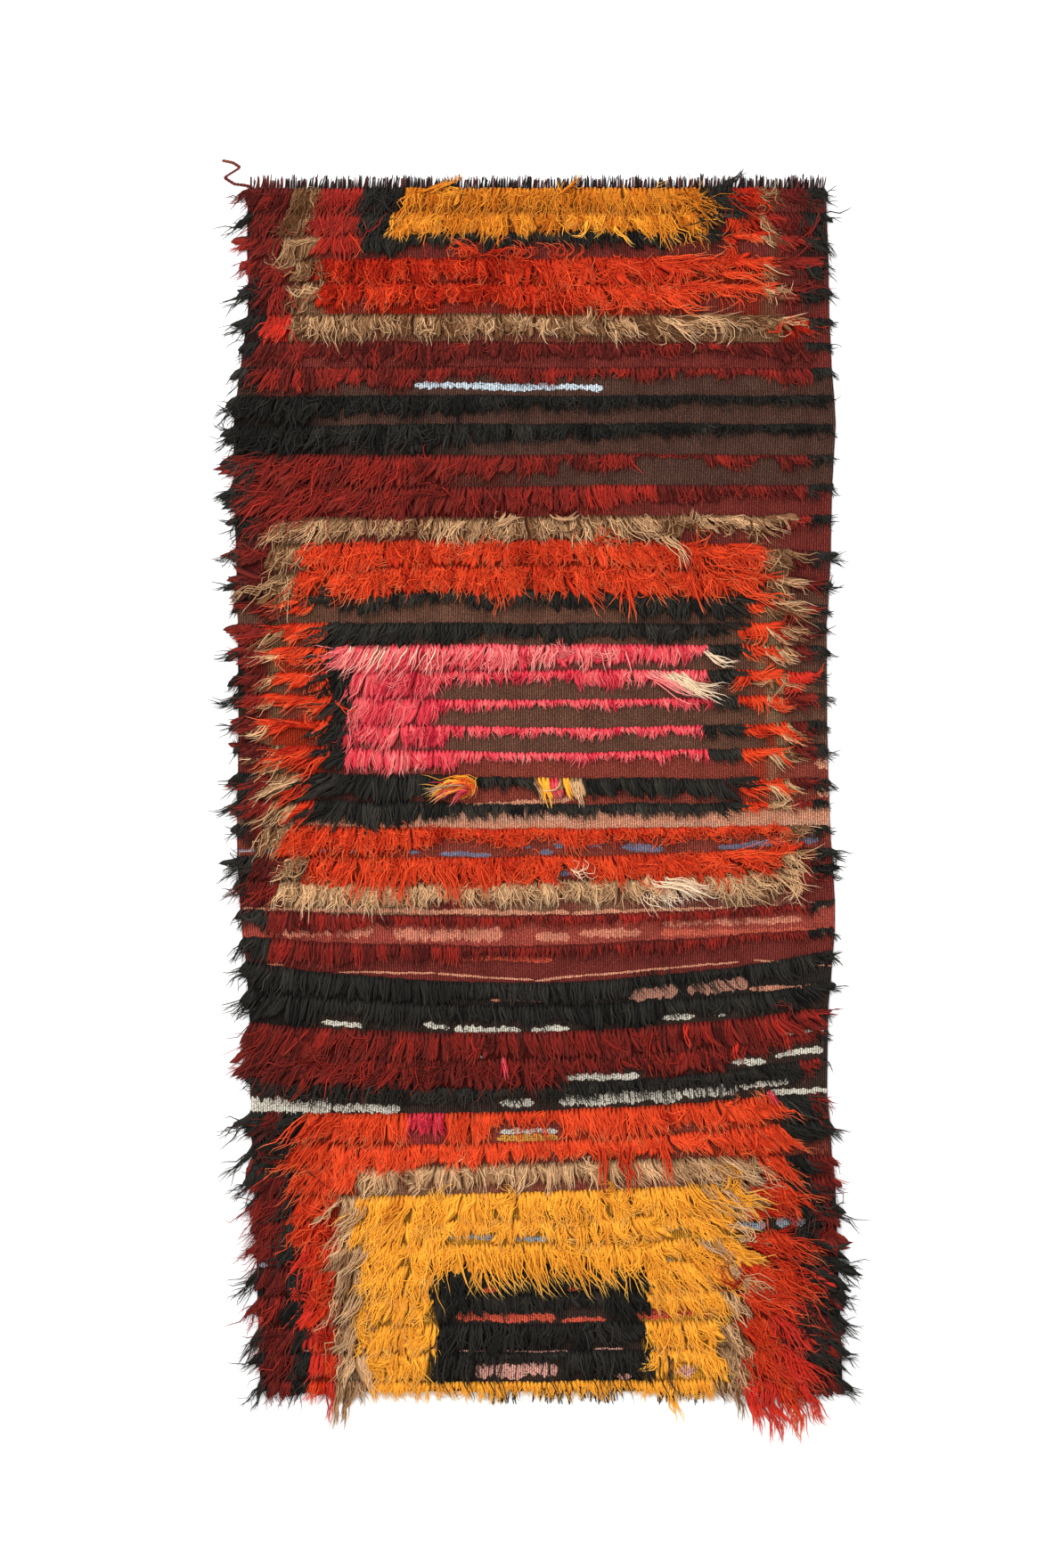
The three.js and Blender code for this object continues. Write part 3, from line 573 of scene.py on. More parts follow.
def paint(piece, name, colours):
    """Stores one colour a point."""
    attribute = piece.data.attributes.new(name, "FLOAT_COLOR", "POINT")
    attribute.data.foreach_set("color", np.asarray(colours, np.float32).ravel())


def tubes(paths, widths, rises, tones, across_share, reach=1.0):
    """Tapered three-sided tubes, flat below and with a ridge above, that end in a point.

    paths is (count, rings + 1, 3). Returns points, faces and the two numbers that the yarn is coloured by:
    shade, which is the tube's tone spread a little around it, and along, which runs from 0 at the root to
    reach at the tip.
    """
    count, stations, _ = paths.shape
    rings = stations - 1
    ahead = np.empty_like(paths)
    ahead[:, 1:-1] = paths[:, 2:] - paths[:, :-2]
    ahead[:, 0] = paths[:, 1] - paths[:, 0]
    ahead[:, -1] = paths[:, -1] - paths[:, -2]
    flat = np.maximum(np.hypot(ahead[..., 0], ahead[..., 1]), 1e-6)
    side = np.stack([ahead[..., 1] / flat, -ahead[..., 0] / flat, np.zeros_like(flat)], -1)[:, :rings]
    body = paths[:, :rings]
    half = widths[:, :rings, None] / 2
    crown = np.zeros_like(body)
    crown[..., 2] = rises[:, :rings]
    ring_points = np.stack([body + side * half, body - side * half, body + crown], 2)
    points = np.concatenate([ring_points.reshape(count, rings * 3, 3), paths[:, -1:]], 1)

    steps = []
    for ring in range(rings - 1):
        for corner in range(3):
            a = ring * 3 + corner
            b = ring * 3 + (corner + 1) % 3
            steps += [(a, b, b + 3), (a, b + 3, a + 3)]
    last, tip = (rings - 1) * 3, rings * 3
    steps += [(last, last + 1, tip), (last + 1, last + 2, tip), (last + 2, last, tip), (0, 2, 1)]
    faces = np.array(steps)[None] + (np.arange(count) * points.shape[1])[:, None, None]

    lengths = np.linalg.norm(np.diff(paths, axis=1), axis=2)
    arc = np.concatenate([np.zeros((count, 1)), np.cumsum(lengths, 1)], 1)
    along = reach * arc / arc[:, -1:]
    along_points = np.concatenate([np.repeat(along[:, :rings], 3, 1), along[:, -1:]], 1)
    around = np.concatenate([np.tile([0.0, 1.0, 0.5], rings), [0.5]])[None]
    shade = tones[:, None] * (1 - across_share) + around * across_share
    return points.reshape(-1, 3), faces.reshape(-1, 3), shade.ravel(), along_points.ravel()


class Heap:
    """Collects tubes of one yarn, to be made into one mesh."""

    def __init__(self):
        self.tubes = []
        self.total = 0

    def add(self, points, faces, shade, along):
        self.tubes.append((points, faces + self.total, shade, along))
        self.total += len(points)

    def build(self, name, material):
        points, faces, shade, along = (np.concatenate(arrays) for arrays in zip(*self.tubes))
        floats = (("shade", shade), ("along", along))
        return make_piece(name, points, [faces], material, floats=floats, uv=np.stack([shade, along], 1))


# Materials


def connect(tree, socket, value):
    """Links a socket to another, or sets its value."""
    if isinstance(value, bpy.types.NodeSocket):
        tree.links.new(value, socket)
    else:
        socket.default_value = value


def set_inputs(tree, node, **inputs):
    """Sets or links a node's inputs by their names, with _ for a space."""
    for label, value in inputs.items():
        connect(tree, node.inputs[label.replace("_", " ")], value)


def new_material(name, **inputs):
    material = bpy.data.materials.new(name)
    material.use_nodes = True
    tree = material.node_tree
    shader = tree.nodes["Principled BSDF"]
    set_inputs(tree, shader, **inputs)
    return material, tree, shader


def add_node(tree, kind, **inputs):
    node = tree.nodes.new(kind)
    set_inputs(tree, node, **inputs)
    return node


def read_attribute(tree, name, output="Fac"):
    node = tree.nodes.new("ShaderNodeAttribute")
    node.attribute_name = name
    return node.outputs[output]


def maths(tree, operation, *values):
    node = tree.nodes.new("ShaderNodeMath")
    node.operation = operation
    for socket, value in zip(node.inputs, values):
        connect(tree, socket, value)
    return node.outputs[0]


def mix(tree, factor, a, b, blend="MIX"):
    node = tree.nodes.new("ShaderNodeMix")
    node.data_type = "RGBA"
    node.blend_type = blend
    connect(tree, node.inputs[0], factor)
    connect(tree, node.inputs[6], a)
    connect(tree, node.inputs[7], b)
    return node.outputs[2]


def grey(share):
    return (share, share, share, 1.0)


def ramp(tree, source, stops):
    node = tree.nodes.new("ShaderNodeValToRGB")
    elements = node.color_ramp.elements
    while len(elements) < len(stops):
        elements.new(0.5)
    for element, (place, colour) in zip(elements, stops):
        element.position = place
        element.color = colour
    tree.links.new(source, node.inputs[0])
    return node.outputs[0]


def shade_by(tree, colour, source, *stops):
    """A colour made darker or lighter by source. Each stop is a place on it and the share that is left."""
    greys = [(place, grey(share)) for place, share in stops]
    return mix(tree, 1.0, colour, ramp(tree, source, greys), "MULTIPLY")


RAMP_PLACES = (0.0, 0.2, 0.65, 1.0)


def yarn_material(name, dull, bright):
    """Yarn whose shade runs from dull to bright. Each is its colour at the root, low, high and at the tip."""
    material, tree, shader = new_material(name, Roughness=0.85, Sheen_Weight=0.01, Specular_IOR_Level=0.04)
    shade = read_attribute(tree, "shade")
    along = read_attribute(tree, "along")
    ends = [ramp(tree, along, list(zip(RAMP_PLACES, colours))) for colours in (dull, bright)]
    # Painted shade: the lowest shades, mostly those of the beds, are darkened to stand for shade between
    # strands
    base = shade_by(tree, mix(tree, shade, *ends), shade, (0.0, 0.6), (0.1, 1.0))

    around = maths(tree, "MULTIPLY", shade, 150.0)
    down = maths(tree, "MULTIPLY", along, 5.0)
    place = add_node(tree, "ShaderNodeCombineXYZ", X=around, Y=down).outputs[0]
    fibres = add_node(tree, "ShaderNodeTexNoise", Vector=place, Scale=1.0, Detail=3.0, Roughness=0.6)
    fibres = fibres.outputs["Fac"]
    base = shade_by(tree, base, fibres, (0.3, 0.68), (0.5, 1.0), (0.7, 1.28))
    bump = add_node(tree, "ShaderNodeBump", Strength=0.4, Distance=0.0006, Height=fibres)
    set_inputs(tree, shader, Base_Color=base, Normal=bump.outputs[0])
    return material


def scaled(colour, share):
    return tuple(part * share for part in colour[:3]) + (1.0,)


def dye(middle, tip, depth):
    """Root, low, high and tip colours: darker low down in the pile as painted shade, lighter at the tip."""
    middle = srgb(*middle)
    return (scaled(middle, depth), scaled(middle, (depth + 1) / 2), middle, srgb(*tip))


# For each wool, the colour of its middle and its tip on a screen and how dark it is painted at the root, as
# shade in the pile: first where it is dull, then where it is bright
WOOL_DYES = {
    "black": ((27, 27, 25), (32, 31, 28), 0.78, (70, 65, 58), (86, 78, 68), 0.78),
    "red": ((88, 33, 29), (138, 66, 58), 0.78, (218, 54, 39), (234, 98, 72), 0.78),
    "orange": ((176, 30, 14), (220, 76, 48), 0.82, (249, 91, 46), (255, 172, 112), 0.8),
    "gold": ((190, 92, 16), (224, 138, 44), 0.8, (255, 181, 59), (255, 216, 124), 0.92),
    "camel": ((116, 72, 42), (160, 112, 72), 0.6, (244, 198, 148), (252, 230, 194), 0.6),
    "white": ((176, 122, 90), (216, 176, 148), 0.8, (248, 224, 190), (255, 242, 218), 0.85),
    "pink": ((214, 31, 60), (246, 70, 96), 0.9, (250, 156, 148), (253, 216, 194), 1.0),
}
WOOL_COLOURS = {name: (dye(*dyes[:3]), dye(*dyes[3:])) for name, dyes in WOOL_DYES.items()}
WARP_COLOURS = (dye((30, 24, 22), (36, 28, 25), 0.78), dye((118, 48, 40), (140, 74, 60), 0.78))


def weave(name, open_weave=None):
    """A ribbed flat weave: wefts packed over thick warps, in uneven hand-spun yarn.

    An open weave lets dark warp of its own colour show between the wefts.
    """
    material, tree, shader = new_material(name, Roughness=0.92, Sheen_Weight=0.0, Specular_IOR_Level=0.04)
    place = tree.nodes.new("ShaderNodeTexCoord").outputs["Object"]
    colour = read_attribute(tree, "weft", "Color")

    stretch = (1 / (RIB_PITCH * MM), 1 / (SPECK_PITCH * MM), 1.0)
    stretched = add_node(tree, "ShaderNodeMapping", Vector=place, Scale=stretch).outputs[0]
    specks = add_node(tree, "ShaderNodeTexNoise", Vector=stretched, Scale=1.0, Detail=2.0, Roughness=0.5)
    specks = specks.outputs["Fac"]
    if open_weave:
        colour = mix(tree, ramp(tree, specks, [(0.36, grey(0.0)), (0.48, grey(1.0))]), open_weave, colour)
    else:
        colour = shade_by(tree, colour, specks, (0.32, 0.55), (0.52, 1.0), (0.72, 1.7))
    heather = add_node(tree, "ShaderNodeTexNoise", Vector=place, Scale=28.0, Detail=4.0, Roughness=0.6)
    colour = shade_by(tree, colour, heather.outputs["Fac"], (0.3, 0.78), (0.7, 1.2))
    ribs = maths(tree, "SINE", maths(tree, "MULTIPLY", read_attribute(tree, "rib"), 2 * math.pi))
    # Painted shade in the valleys between the ribs and a painted highlight on their tops, besides the ribs'
    # bump
    colour = shade_by(tree, colour, ribs, (0.0, 0.5), (0.35, 1.0), (1.0, 1.3))

    pitch = 0.5 / (WEFT_PITCH * MM)
    wefts = add_node(tree, "ShaderNodeTexWave", Vector=place, Scale=pitch, Distortion=1.5, Detail=1.0)
    wefts.bands_direction = "Y"
    fine = add_node(tree, "ShaderNodeBump", Strength=0.5, Distance=0.0006, Height=wefts.outputs["Fac"])
    ribbed = add_node(tree, "ShaderNodeBump", Strength=0.8, Distance=0.0008, Height=ribs)
    set_inputs(tree, ribbed, Normal=fine.outputs[0])
    set_inputs(tree, shader, Base_Color=colour, Normal=ribbed.outputs[0])
    return material


# Camera, light and floor


def make_camera():
    camera = add_object("camera", bpy.data.cameras.new("camera"))
    camera.data.lens = LENS
    camera.data.sensor_width = SENSOR
    centre_x = (PHOTO["width"] / 2 - PHOTO["origin_x"]) * PHOTO["mm_per_pixel"]
    centre_y = (PHOTO["origin_y"] - PHOTO["height"] / 2) * PHOTO["mm_per_pixel"]
    distance = PHOTO["height"] * PHOTO["mm_per_pixel"] * LENS / SENSOR
    camera.location = (centre_x * MM, centre_y * MM, distance * MM)
    camera.data.clip_end = 100
    bpy.context.scene.camera = camera


def make_light():
    world = bpy.data.worlds.new("studio")
    bpy.context.scene.world = world
    world.use_nodes = True
    sky = world.node_tree.nodes["Background"]
    set_inputs(world.node_tree, sky, Color=grey(1.0), Strength=SKY_STRENGTH)
    data = bpy.data.lights.new("key", "AREA")
    data.shape = "RECTANGLE"
    data.size = KEY_SIZE
    data.size_y = KEY_SIZE
    data.energy = KEY_STRENGTH
    key = add_object("key", data)
    key.location = KEY_PLACE
    key.rotation_euler = (-key.location).to_track_quat("-Z", "Y").to_euler()


def make_floor():
    pale = grey(FLOOR_GREY)
    material, _, _ = new_material("floor_white", Base_Color=pale, Roughness=0.9, Specular_IOR_Level=0.1)
    signs = ((-1, -1), (1, -1), (1, 1), (-1, 1))
    corners = np.array([(x * FLOOR_HALF, y * FLOOR_HALF, FLOOR_DEPTH) for x, y in signs])
    floor = make_piece("floor", corners, [np.array([(0, 1, 2, 3)])], material, smooth=False)


# The cloth

RIBS = int(round((SELVEDGES[0, 2] - SELVEDGES[0, 1]) / RIB_PITCH))
FINE_RIBS = np.arange(0, RIBS + 0.1, 0.5)
INNER_RIBS = np.arange(CORDS, RIBS - CORDS, 4)
CLOTH_RIBS = np.concatenate([FINE_RIBS[FINE_RIBS < CORDS], INNER_RIBS, FINE_RIBS[FINE_RIBS >= RIBS - CORDS]])


def cloth_rise(rib):
    """The height of the cloth across, with a thicker cord along each edge."""
    into = np.minimum(rib, RIBS - rib)
    cord = CORD_RISE * np.sin(np.pi * np.clip(into + 0.3, 0, CORDS) / CORDS)
    return GROUND - 0.5 + np.where(into < CORDS, cord, 0.0)


def cloth_lines():
    """The lines along which the cloth's colour may change: one on each side of every row of knots.

    Each is the row it follows, how far above that row it is, and the row that lies over it.
    """
    lines = [(None, TOP, ROWS[0])]
    for row, after in zip(ROWS, ROWS[1:]):
        lines.append((row, -4.0, row))
        lines.append((after, 3.0, row))
    lines.append((ROWS[-1], -4.0, ROWS[-1]))
    lines.append((None, BOTTOM, ROWS[-1]))
    return lines


def matted_cloth_in_painted_shade(row, x):
    """The cloth's colours below a row: where long pile mats down and hides it, the wool's in painted shade."""
    wool, golden = [], []
    for letter in letters_across(row, x):
        name, tone, _ = WOOLS[letter]
        dull, bright = WOOL_COLOURS[name]
        wool.append(np.array(dull[2]) * (1 - tone) + np.array(bright[2]) * tone)
        golden.append(name == "gold")
    long = np.where(golden, np.interp(x, LENGTH_X, row.lengths), pile_length(row, x))
    share = MAT_SHARE * np.clip((long - MAT_LENGTH) / MAT_FADE, 0, 1)[:, None]
    shaded = np.where(golden, GOLD_MAT_SHADE, MAT_SHADE)[:, None] * np.array(wool)
    return np.array(CLOTH_COLOURS[row.cloth]) * (1 - share) + shaded * share


def grid_quads(grid):
    """The faces between the points of a grid of point numbers."""
    return np.stack([grid[:-1, :-1], grid[1:, :-1], grid[1:, 1:], grid[:-1, 1:]], -1).reshape(-1, 4)


def make_cloth(material):
    """The flat-woven ground: warp ribs run up the rug, under wefts in bands of colour. It is closed below."""
    rise = cloth_rise(CLOTH_RIBS)
    points, colours = [], []
    lines = cloth_lines()
    for row, offset, above in lines:
        level = offset if row is None else row.middle + offset
        left, right = edge("left", level), edge("right", level)
        x = left + (right - left) * CLOTH_RIBS / RIBS
        y = np.full_like(x, offset) if row is None else row_height(row, x) + offset
        points.append(np.stack([x, np.clip(y, BOTTOM, TOP), rise], 1))
        colours.append(matted_cloth_in_painted_shade(above, x))
    across, down = len(CLOTH_RIBS), len(lines)
    grid = np.arange(across * down).reshape(down, across)

    top = np.concatenate(points)
    rim = np.stack([top[grid[:, 0]], top[grid[:, -1]]], 1).reshape(-1, 3) * (1, 1, 0)
    left = len(top) + np.arange(down) * 2
    right = left + 1
    left_wall = np.stack([grid[:-1, 0], left[:-1], left[1:], grid[1:, 0]], 1)
    right_wall = np.stack([grid[:-1, -1], grid[1:, -1], right[1:], right[:-1]], 1)
    below = np.stack([left[:-1], right[:-1], right[1:], left[1:]], 1)
    upper_end = np.concatenate([grid[0], [right[0], left[0]]])[None]
    lower_end = np.concatenate([grid[-1, ::-1], [left[-1], right[-1]]])[None]

    every = np.concatenate([top, rim])
    thick = GROUND / LAYOUT
    # Each set of faces, and how far its points on the floor are moved in the layout
    sets = [
        (grid_quads(grid), (0.0, 0.0)),
        (left_wall, (-thick, 0.0)),
        (right_wall, (thick, 0.0)),
        (below, (0.5, 0.0)),
        (upper_end, (0.0, thick)),
        (lower_end, (0.0, -thick)),
    ]
    plan = every[:, :2] / LAYOUT + (0.25, 0.5)
    corner_plan = []
    for faces, way in sets:
        corners = faces.ravel()
        corner_plan.append(plan[corners] + np.where(corners[:, None] >= len(top), way, 0.0))
    ribs = np.concatenate([np.tile(CLOTH_RIBS, down), np.tile([0.0, RIBS], down)])
    face_sets = [faces for faces, _ in sets]
    uv = np.concatenate(corner_plan)
    piece = make_piece("kilim_ground", every, face_sets, material, floats=[("rib", ribs)], uv=uv)
    rim_colours = np.repeat([CLOTH_COLOURS[above.cloth] for _, _, above in lines], 2, axis=0)
    paint(piece, "weft", np.concatenate(colours + [rim_colours]))
    return piece


def make_bands(piece_name, wefts, material):
    """Short bands and patches of other wefts, woven in between the rows of knots."""
    points, quads, colours, ribs, total = [], [], [], [], 0
    for number, (name, start, stop, y_start, y_stop, thick) in enumerate(BANDS):
        if name not in wefts:
            continue
        level = (y_start + y_stop) / 2
        left, right = edge("left", level), edge("right", level)
        x = left + (right - left) * FINE_RIBS / RIBS
        here = np.flatnonzero((x >= start) & (x <= stop))
        rib, x = FINE_RIBS[here], x[here]
        share = (x - start) / (stop - start)
        same = level * np.ones_like(x)
        y = y_start + (y_stop - y_start) * share + 1.5 * noise(x, same, 40, number)
        taper = np.clip(np.minimum(x - start, stop - x) / 10 + 0.2, 0, 1)
        for way in (1, 0, -1):
            ragged = 0.85 + 0.3 * noise(x, same, 18, number + 50 + way)
            ragged = ragged + 0.45 * noise(x, same, 3, number + 90 + way)
            half = thick / 2 * taper * np.clip(ragged, 0.1, 1.4)
            points.append(np.stack([x, y + way * half, cloth_rise(rib) + 0.5 - 0.3 * abs(way)], 1))
            colours.append(np.tile(WEFT_COLOURS[name], (len(x), 1)))
            ribs.append(rib)
        grid = total + np.arange(3 * len(x)).reshape(3, len(x))
        quads.append(grid_quads(grid))
        total += grid.size
    every = np.concatenate(points)
    plan = every[:, :2] / LAYOUT + (0.5, 0.5)
    rib_floats = [("rib", np.concatenate(ribs))]
    piece = make_piece(piece_name, every, [np.concatenate(quads)], material, floats=rib_floats, uv=plan)
    paint(piece, "weft", np.concatenate(colours))
    return piece


# The pile


def grow(x, y, long, shares, heading, wave, period, phase, bend, fall, most=180.0):
    """Plan paths of yarn that leaves a knot straight down the rug and turns to its heading, in waves.

    Apart from its bend, it turns no further than most.
    """
    path = np.zeros((len(x), len(shares), 2))
    path[:, 0] = np.stack([x, y], 1)
    for i in range(1, len(shares)):
        step = long * (shares[i] - shares[i - 1])
        s = long * (shares[i] + shares[i - 1]) / 2
        turned = 1 - np.exp(-s / fall)
        angle = np.clip(heading * turned + wave * np.sin(2 * math.pi * s / period + phase), -most, most)
        angle = np.radians(angle + bend * s)
        path[:, i, 0] = path[:, i - 1, 0] + np.sin(angle) * step
        path[:, i, 1] = path[:, i - 1, 1] - np.cos(angle) * step
    return path


def settle(path, long, shares, layer, lift):
    """Heights of pile that lies like shingles over the cloth and the next row, and on the floor outside."""
    s = long[:, None] * shares
    bulk = BULGE * long[:, None] + 1.0
    rise = GROUND + lift + KNOT_RISE * (1 - np.exp(-s / RISE_LENGTH)) + LEAN * s
    rise = rise + layer[:, None] * bulk * np.sin(np.pi * np.clip(shares * 0.8 + 0.12, 0, 1))
    rise = rise - 2.0 * shares**3
    over = np.maximum(rise - FIRM, 0)
    rise = np.minimum(rise, FIRM) + SQUASH * (1 - np.exp(-over / SQUASH))
    out = np.clip((outside(path[..., 0], path[..., 1]) + 2) / DROP_WIDTH, 0, 1)
    out = out * out * (3 - 2 * out)
    rise = rise * (1 - out) + (FLOOR_LEAST + FLOOR_MORE * layer[:, None]) * out
    return np.concatenate([path, rise[..., None]], 2)


def knots():
    """Every knot of the chart, as one table of arrays."""
    rows = []
    random = np.random.default_rng(SEED)
    for number, row in enumerate(ROWS):
        left = edge("left", row.middle) + 3
        right = edge("right", row.middle) - 3
        x = np.arange(left, right, KNOT_PITCH)
        x = x + random.uniform(-0.7, 0.7, len(x))
        y = row_height(row, x) + random.uniform(-1.2, 1.2, len(x))
        comb = np.abs(comb_angle(x, y))
        into = np.clip(np.minimum(x - left, right - x) / 70, 0, 1)
        slant = 1 / (0.35 + 0.65 * np.cos(np.radians(np.minimum(comb, SIDEWAYS))))
        shift = random.uniform(-3, 3, row.colours.count(" "))
        rows.append(
            {
                "x": x,
                "y": y,
                "long": pile_length(row, x) * np.where(comb > ACROSS, 1.0, 1 + into * (slant - 1)),
                "curl": np.full(len(x), row.curl),
                "row": np.full(len(x), number),
                "letter": letters_across(row, x, shift),
            }
        )
    return {label: np.concatenate([row[label] for row in rows]) for label in rows[0]}


def gather_locks(table):
    """The number of the lock that each knot belongs to: neighbours of one colour that lie together."""
    random = np.random.default_rng(SEED + 1)
    lock = np.zeros(len(table["x"]), int)
    left_in_lock = 0
    for i in range(1, len(lock)):
        new_row = table["row"][i] != table["row"][i - 1]
        new_colour = table["letter"][i] != table["letter"][i - 1]
        if new_row or new_colour or left_in_lock == 0:
            lock[i] = lock[i - 1] + 1
            left_in_lock = int(random.integers(1, 4))
        else:
            lock[i] = lock[i - 1]
        left_in_lock -= 1
    return lock


def into_run(table):
    """How far each knot lies, against the way its pile is combed, from the end of its run of one colour."""
    changes = (table["row"][1:] != table["row"][:-1]) | (table["letter"][1:] != table["letter"][:-1])
    run = np.concatenate([[0], np.cumsum(changes)])
    first = np.full(run[-1] + 1, np.inf)
    last = np.full(run[-1] + 1, -np.inf)
    np.minimum.at(first, run, table["x"])
    np.maximum.at(last, run, table["x"])
    return np.where(table["comb"] > 0, table["x"] - first[run], last[run] - table["x"])


def describe(table):
    """Adds to the table what each knot takes from its place, its wool and its lock."""
    random = np.random.default_rng(SEED + 10)
    lock = gather_locks(table)
    locks = lock.max() + 1
    many = np.bincount(lock, minlength=locks)
    curl = np.bincount(lock, table["curl"], locks) / many
    of_lock = {
        "centre": np.bincount(lock, table["x"], locks) / many,
        "turn": random.normal(0, 1, locks) * (5 + 11 * curl),
        "wave": (4 + 56 * curl) * random.uniform(0.3, 1.2, locks),
        "period": (64 - 30 * curl) * random.uniform(0.7, 1.25, locks),
        "phase": random.uniform(0, 2 * math.pi, locks),
        "bend": (random.random(locks) < 0.2 * curl)
        * random.choice([-1, 1], locks)
        * random.uniform(1.5, 4.5, locks),
        "stretch": random.uniform(0.86, 1.14, locks),
        "dye": random.normal(0, 1, locks),
        "layer": random.random(locks),
        "pinch": random.uniform(0.0, 1.6, locks),
    }
    table.update({label: values[lock] for label, values in of_lock.items()})
    for place, label in enumerate(("wool", "tone", "pale")):
        table[label] = np.array([WOOLS[letter][place] for letter in table["letter"]])
    table["comb"] = comb_angle(table["x"], table["y"])
    table["sideways"] = np.abs(table["comb"]) > SIDEWAYS
    table["fall"] = HOOK_LEAST + HOOK_MORE * np.exp(-into_run(table) / HOOK_WIDTH)
    table["rim"] = np.clip((outside(table["x"], table["y"]) + RIM_ZONE) / RIM_FADE, 0, 1)
    table["wave"] = table["wave"] * (1 - 0.45 * np.minimum(np.abs(table["comb"]) / 90, 1))
    table["short"] = table["long"] < SHORT
    return table


def within_reach(knot, long):
    """The lengths of strands, held back where they would lie far past the rug's long edges."""
    reach = np.where(knot["wool"] == "black", RIM_REACH, INNER_REACH)
    room = reach - np.sign(knot["comb"]) * knot["x"]
    return np.minimum(long, np.maximum(room / np.maximum(np.abs(np.sin(np.radians(knot["comb"]))), 0.2), 26))


def pick(table, chosen, many=1):
    """The chosen knots, each of them many times, and how many that makes."""
    places = np.repeat(np.flatnonzero(chosen), many)
    return {label: values[places] for label, values in table.items()}, len(places)


BED = np.array([(0.0, 0.6, 0.3), (0.14, 0.66, 0.32), (0.42, 1.1, 0.2), (0.78, 0.9, 0.14), (1.0, 0.0, 0.0)])
SHORT_BED = np.array([(0.0, 0.6, 0.3), (0.3, 0.9, 0.3), (0.7, 0.8, 0.16), (1.0, 0.0, 0.0)])
STRAND = np.array([(0.0, 1.0, 0.8), (0.22, 1.0, 0.8), (0.5, 0.9, 0.7), (0.78, 0.6, 0.5), (1.0, 0.0, 0.0)])
SHORT_STRAND = np.array([(0.0, 1.0, 0.8), (0.36, 0.95, 0.75), (0.72, 0.65, 0.5), (1.0, 0.0, 0.0)])
LONG_STRAND = np.array(
    [(0.0, 1.0, 0.8), (0.18, 1.0, 0.8), (0.4, 0.95, 0.7), (0.62, 0.8, 0.6), (0.84, 0.5, 0.4), (1.0, 0.0, 0.0)]
)


def lay_strands(
    heap, profile, x, y, z_root, long, width, heading, wave, period, phase, bend, layer, lift, tone,
    spread=0.05, fall=FALL, most=180.0, reach=1.0,
):
    """Adds one tube a row of these arrays. The columns of the profile are length, width and height shares."""
    shares = profile[:, 0]
    path = grow(x, y, long, shares, heading, wave, period, phase, bend, fall, most)
    path = settle(path, long, shares, layer, lift)
    path[:, 0, 2] = z_root
    widths = width[:, None] * profile[:, 1]
    heap.add(*tubes(path, widths, width[:, None] * profile[:, 2], np.clip(tone, 0, 1), spread, reach))


def lay_beds(heap, knot, n, habit, profile, random):
    """One broad flat tuft a knot, that closes the row below the strands."""
    short = profile is SHORT_BED
    lay_strands(
        heap,
        profile,
        x=knot["x"],
        y=knot["y"] + 3.0,
        z_root=GROUND - 0.5,
        long=knot["long"] * (random.uniform(0.76, 1.0, n) - 0.16 * short) * (1 - 0.35 * knot["rim"]),
        width=random.uniform(7.5, 10.0, n) if short else random.uniform(8.5, 11.5, n),
        heading=knot["comb"] + 0.75 * knot["turn"] + random.normal(0, 5, n),
        wave=0.3 * knot["wave"],
        period=knot["period"],
        phase=knot["phase"],
        bend=0.2 * knot["bend"],
        layer=random.uniform(0, 0.3, n),
        lift=1.0,
        # Painted shade: the beds are made darker than their wool, to stand for the shade between the strands
        tone=knot["tone"] - habit.depth + habit.uneven * (0.6 * knot["dye"] + random.normal(0, 0.3, n)),
        spread=0.14,
        fall=np.where(knot["sideways"], knot["fall"] * random.uniform(0.7, 1.1, n), FALL),
        most=MOST_TURN,
        reach=0.62,
    )


def lay_fine(heap, knot, n, habit, profile, random):
    """The strands of the rows, that lie in locks which share their waves."""
    short = profile is SHORT_STRAND
    x = knot["x"] + random.uniform(-3.4, 3.4, n)
    messy = np.maximum(habit.tangle * np.clip(knot["curl"] * 2 - 0.9, 0, 1), knot["rim"])
    messy = messy + 0.8 * short
    stray = (random.random(n) < 0.05) * random.choice([-1, 1], n)
    lay_strands(
        heap,
        profile,
        x=x,
        y=knot["y"] + random.uniform(-1.0, 1.5, n),
        z_root=GROUND,
        long=within_reach(knot, knot["long"] * knot["stretch"])
        * random.uniform(habit.least - 0.1 * short, habit.most + 0.1 * short, n),
        width=habit.width * random.uniform(0.7, 1.2, n) * (1 - 0.3 * knot["rim"]),
        heading=knot["comb"]
        + knot["turn"]
        - knot["pinch"] * (x - knot["centre"])
        + random.normal(0, 1, n) * (5 + 9 * messy)
        + 26 * stray,
        wave=knot["wave"] + random.normal(0, 1, n) * (4 + 6 * messy),
        period=knot["period"] * random.uniform(0.85, 1.15, n),
        phase=knot["phase"] + random.normal(0, 1, n) * (0.35 + 0.55 * messy),
        bend=knot["bend"] + random.normal(0, 1, n) * 0.35 * messy,
        layer=np.clip(0.55 * knot["layer"] + random.uniform(0, 0.5, n), 0, 1),
        lift=2.4,
        tone=knot["tone"]
        + 0.5 * (random.random(n) < knot["pale"])
        + habit.uneven * (knot["dye"] + random.normal(0, 0.9, n)),
        fall=np.where(knot["sideways"], knot["fall"] * random.uniform(0.7, 1.2, n), random.uniform(7, 15, n)),
        most=MOST_TURN,
    )


